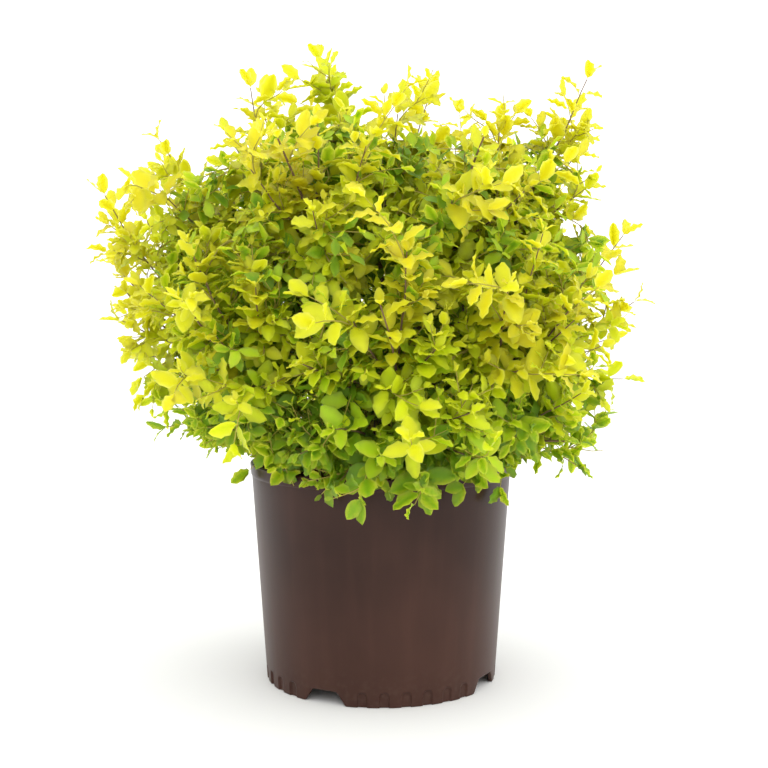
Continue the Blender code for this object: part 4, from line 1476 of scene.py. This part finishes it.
def plantLeaves(stems, chance, taken):
    # leaves that keep to the crown's reach, off the pot, and a little apart
    kept = []
    for stem in stems:
        for leaf in leafPairs(stem, chance):
            tip = leaf["samples"][0]
            if not all(isOffPot(point) for point in leaf["samples"]) or not isInReach(tip, stem):
                continue
            cell = tuple(math.floor(c / leafPlan["apart"]) for c in (leaf["root"] + tip) / 2)
            if cell not in taken:
                taken.add(cell)
                kept.append(leaf)
    return kept


def leafCover(leaves):
    # a quick tree of the leaves, which lines of sight are tested on
    corners = []
    for leaf in leaves:
        tip, left, right = leaf["samples"]
        corners += [leaf["root"], left, tip, right]
    quads = [(n, n + 1, n + 2, n + 3) for n in range(0, len(corners), 4)]
    return bvhtree.BVHTree.FromPolygons(corners, quads)


def isApart(target, found, distance):
    return all((target - other).length > distance for other in found)


def holeTargets(leaves, chance):
    # places inside the crown on level lines of sight that pass right through it
    size = leafPlan
    cover = leafCover(leaves)
    found = []
    for side in range(size["holeSides"]):
        toward = direction(180 * side / size["holeSides"], chance.uniform(-4, 4))
        across = toward.cross(Vector((0, 0, 1))).normalized()
        for column in range(-size["holeColumns"], size["holeColumns"]):
            for row in range(size["holeRows"]):
                rise = Vector((0, 0, (row - 2) * size["holeStep"]))
                offset = across * (column + 0.5) * size["holeStep"] + rise
                if offset.length > openReach(offset.normalized()) * size["holeReach"]:
                    continue
                if cover.ray_cast(heart + offset + toward * size["sightStart"], -toward)[0]:
                    continue
                target = heart + offset + toward * chance.uniform(-0.05, 0.05)
                if isOffPot(target) and isApart(target, found, size["holeApart"]):
                    found.append(target)
    return found


def gapTargets(leaves, chance):
    # places to grow to wherever a line of sight goes deep into the crown
    cover = leafCover(leaves)
    found = []
    for azimuth, elevation in goldenSpread(leafPlan["sightLines"]):
        toward = direction(azimuth, elevation)
        reach = openReach(toward)
        hit = cover.ray_cast(heart + toward * leafPlan["sightStart"], -toward)[0]
        if hit and (hit - heart).dot(toward) / reach > leafPlan["deepestGap"]:
            continue
        target = heart + toward * reach * chance.uniform(*leafPlan["gapReach"])
        if isApart(target, found, leafPlan["gapApart"]):
            found.append(target)
    return found


def seenLeaves(leaves):
    # without the leaves that can hardly be seen from any side
    cover = leafCover(leaves)
    sides = [direction(azimuth, elevation) for azimuth, elevation in goldenSpread(leafPlan["viewSides"])]
    seen = []
    for leaf in leaves:
        tip, left, right = leaf["samples"]
        clear = 0
        for toward in sides:
            for spot in (tip, (left + right) / 2):
                clear += not cover.ray_cast(spot + toward * leafPlan["skin"], toward)[0]
            if clear >= leafPlan["clearViews"]:
                seen.append(leaf)
                break
    return seen


def batchesOf(leaves):
    # a leaf has eight triangles for each stretch between two stations, less its closed ends
    triangles = sum(8 * (len(leafPlan["outlines"][leaf["kind"]]) - 2) for leaf in leaves)
    return max(1, math.ceil(triangles / leafPlan["mostTriangles"]))


leafChance = random.Random("privet leaves")
takenCells = set()
allLeaves = plantLeaves(shoots + sprays + twiglets + innerSprays, leafChance, takenCells)
print(" ", len(allLeaves), "leaves")
fillSprays = []
for step in leafPlan["fillSteps"]:
    if step == "hidden":
        allLeaves = seenLeaves(allLeaves)
        print(" ", len(allLeaves), "leaves in sight")
        continue
    findTargets, level = (gapTargets, "spray") if step == "gaps" else (holeTargets, "inner")
    added = growSprays(shoots + sprays, findTargets(allLeaves, leafChance), level, leafChance)
    allLeaves += plantLeaves(added, leafChance, takenCells)
    fillSprays += added
    print(" ", len(allLeaves), "leaves after", len(added), "more sprays")

leafForms = makeLeafForms()
leafSprays = leafTree()
for number, (name, (slot, colour)) in enumerate(leafPlan["tints"].items()):
    tint = plainMaterial("leaf_" + name, {
        "Base Color": colour, "Roughness": leafPlan["roughness"],
        "Specular IOR Level": leafPlan["specular"], "Subsurface Weight": leafPlan["glow"],
        "Subsurface Radius": (1.0, 1.0, 0.35), "Subsurface Scale": leafPlan["glowDepth"]})
    leaves = [leaf for leaf in allLeaves if leaf["tint"] == number]
    batches = batchesOf(leaves)
    for batch in range(batches):
        pieceName = f"leaves_{name}_{batch + 1}" if batches > 1 else f"leaves_{name}"
        points = leafPoints(pieceName + "_points", leaves[batch::batches])
        piece = growPiece(pieceName, points, leafSprays, {"Leaf forms": leafForms, "Tint": tint})
        finishPiece(piece, slot, massNodes)
clearForms(leafForms)
growTwigs("twigs_young", "young", sprays + innerSprays + twiglets + fillSprays)
print("leaves set")

[[list(corner) for corner in box] for box in (cadBox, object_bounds())]
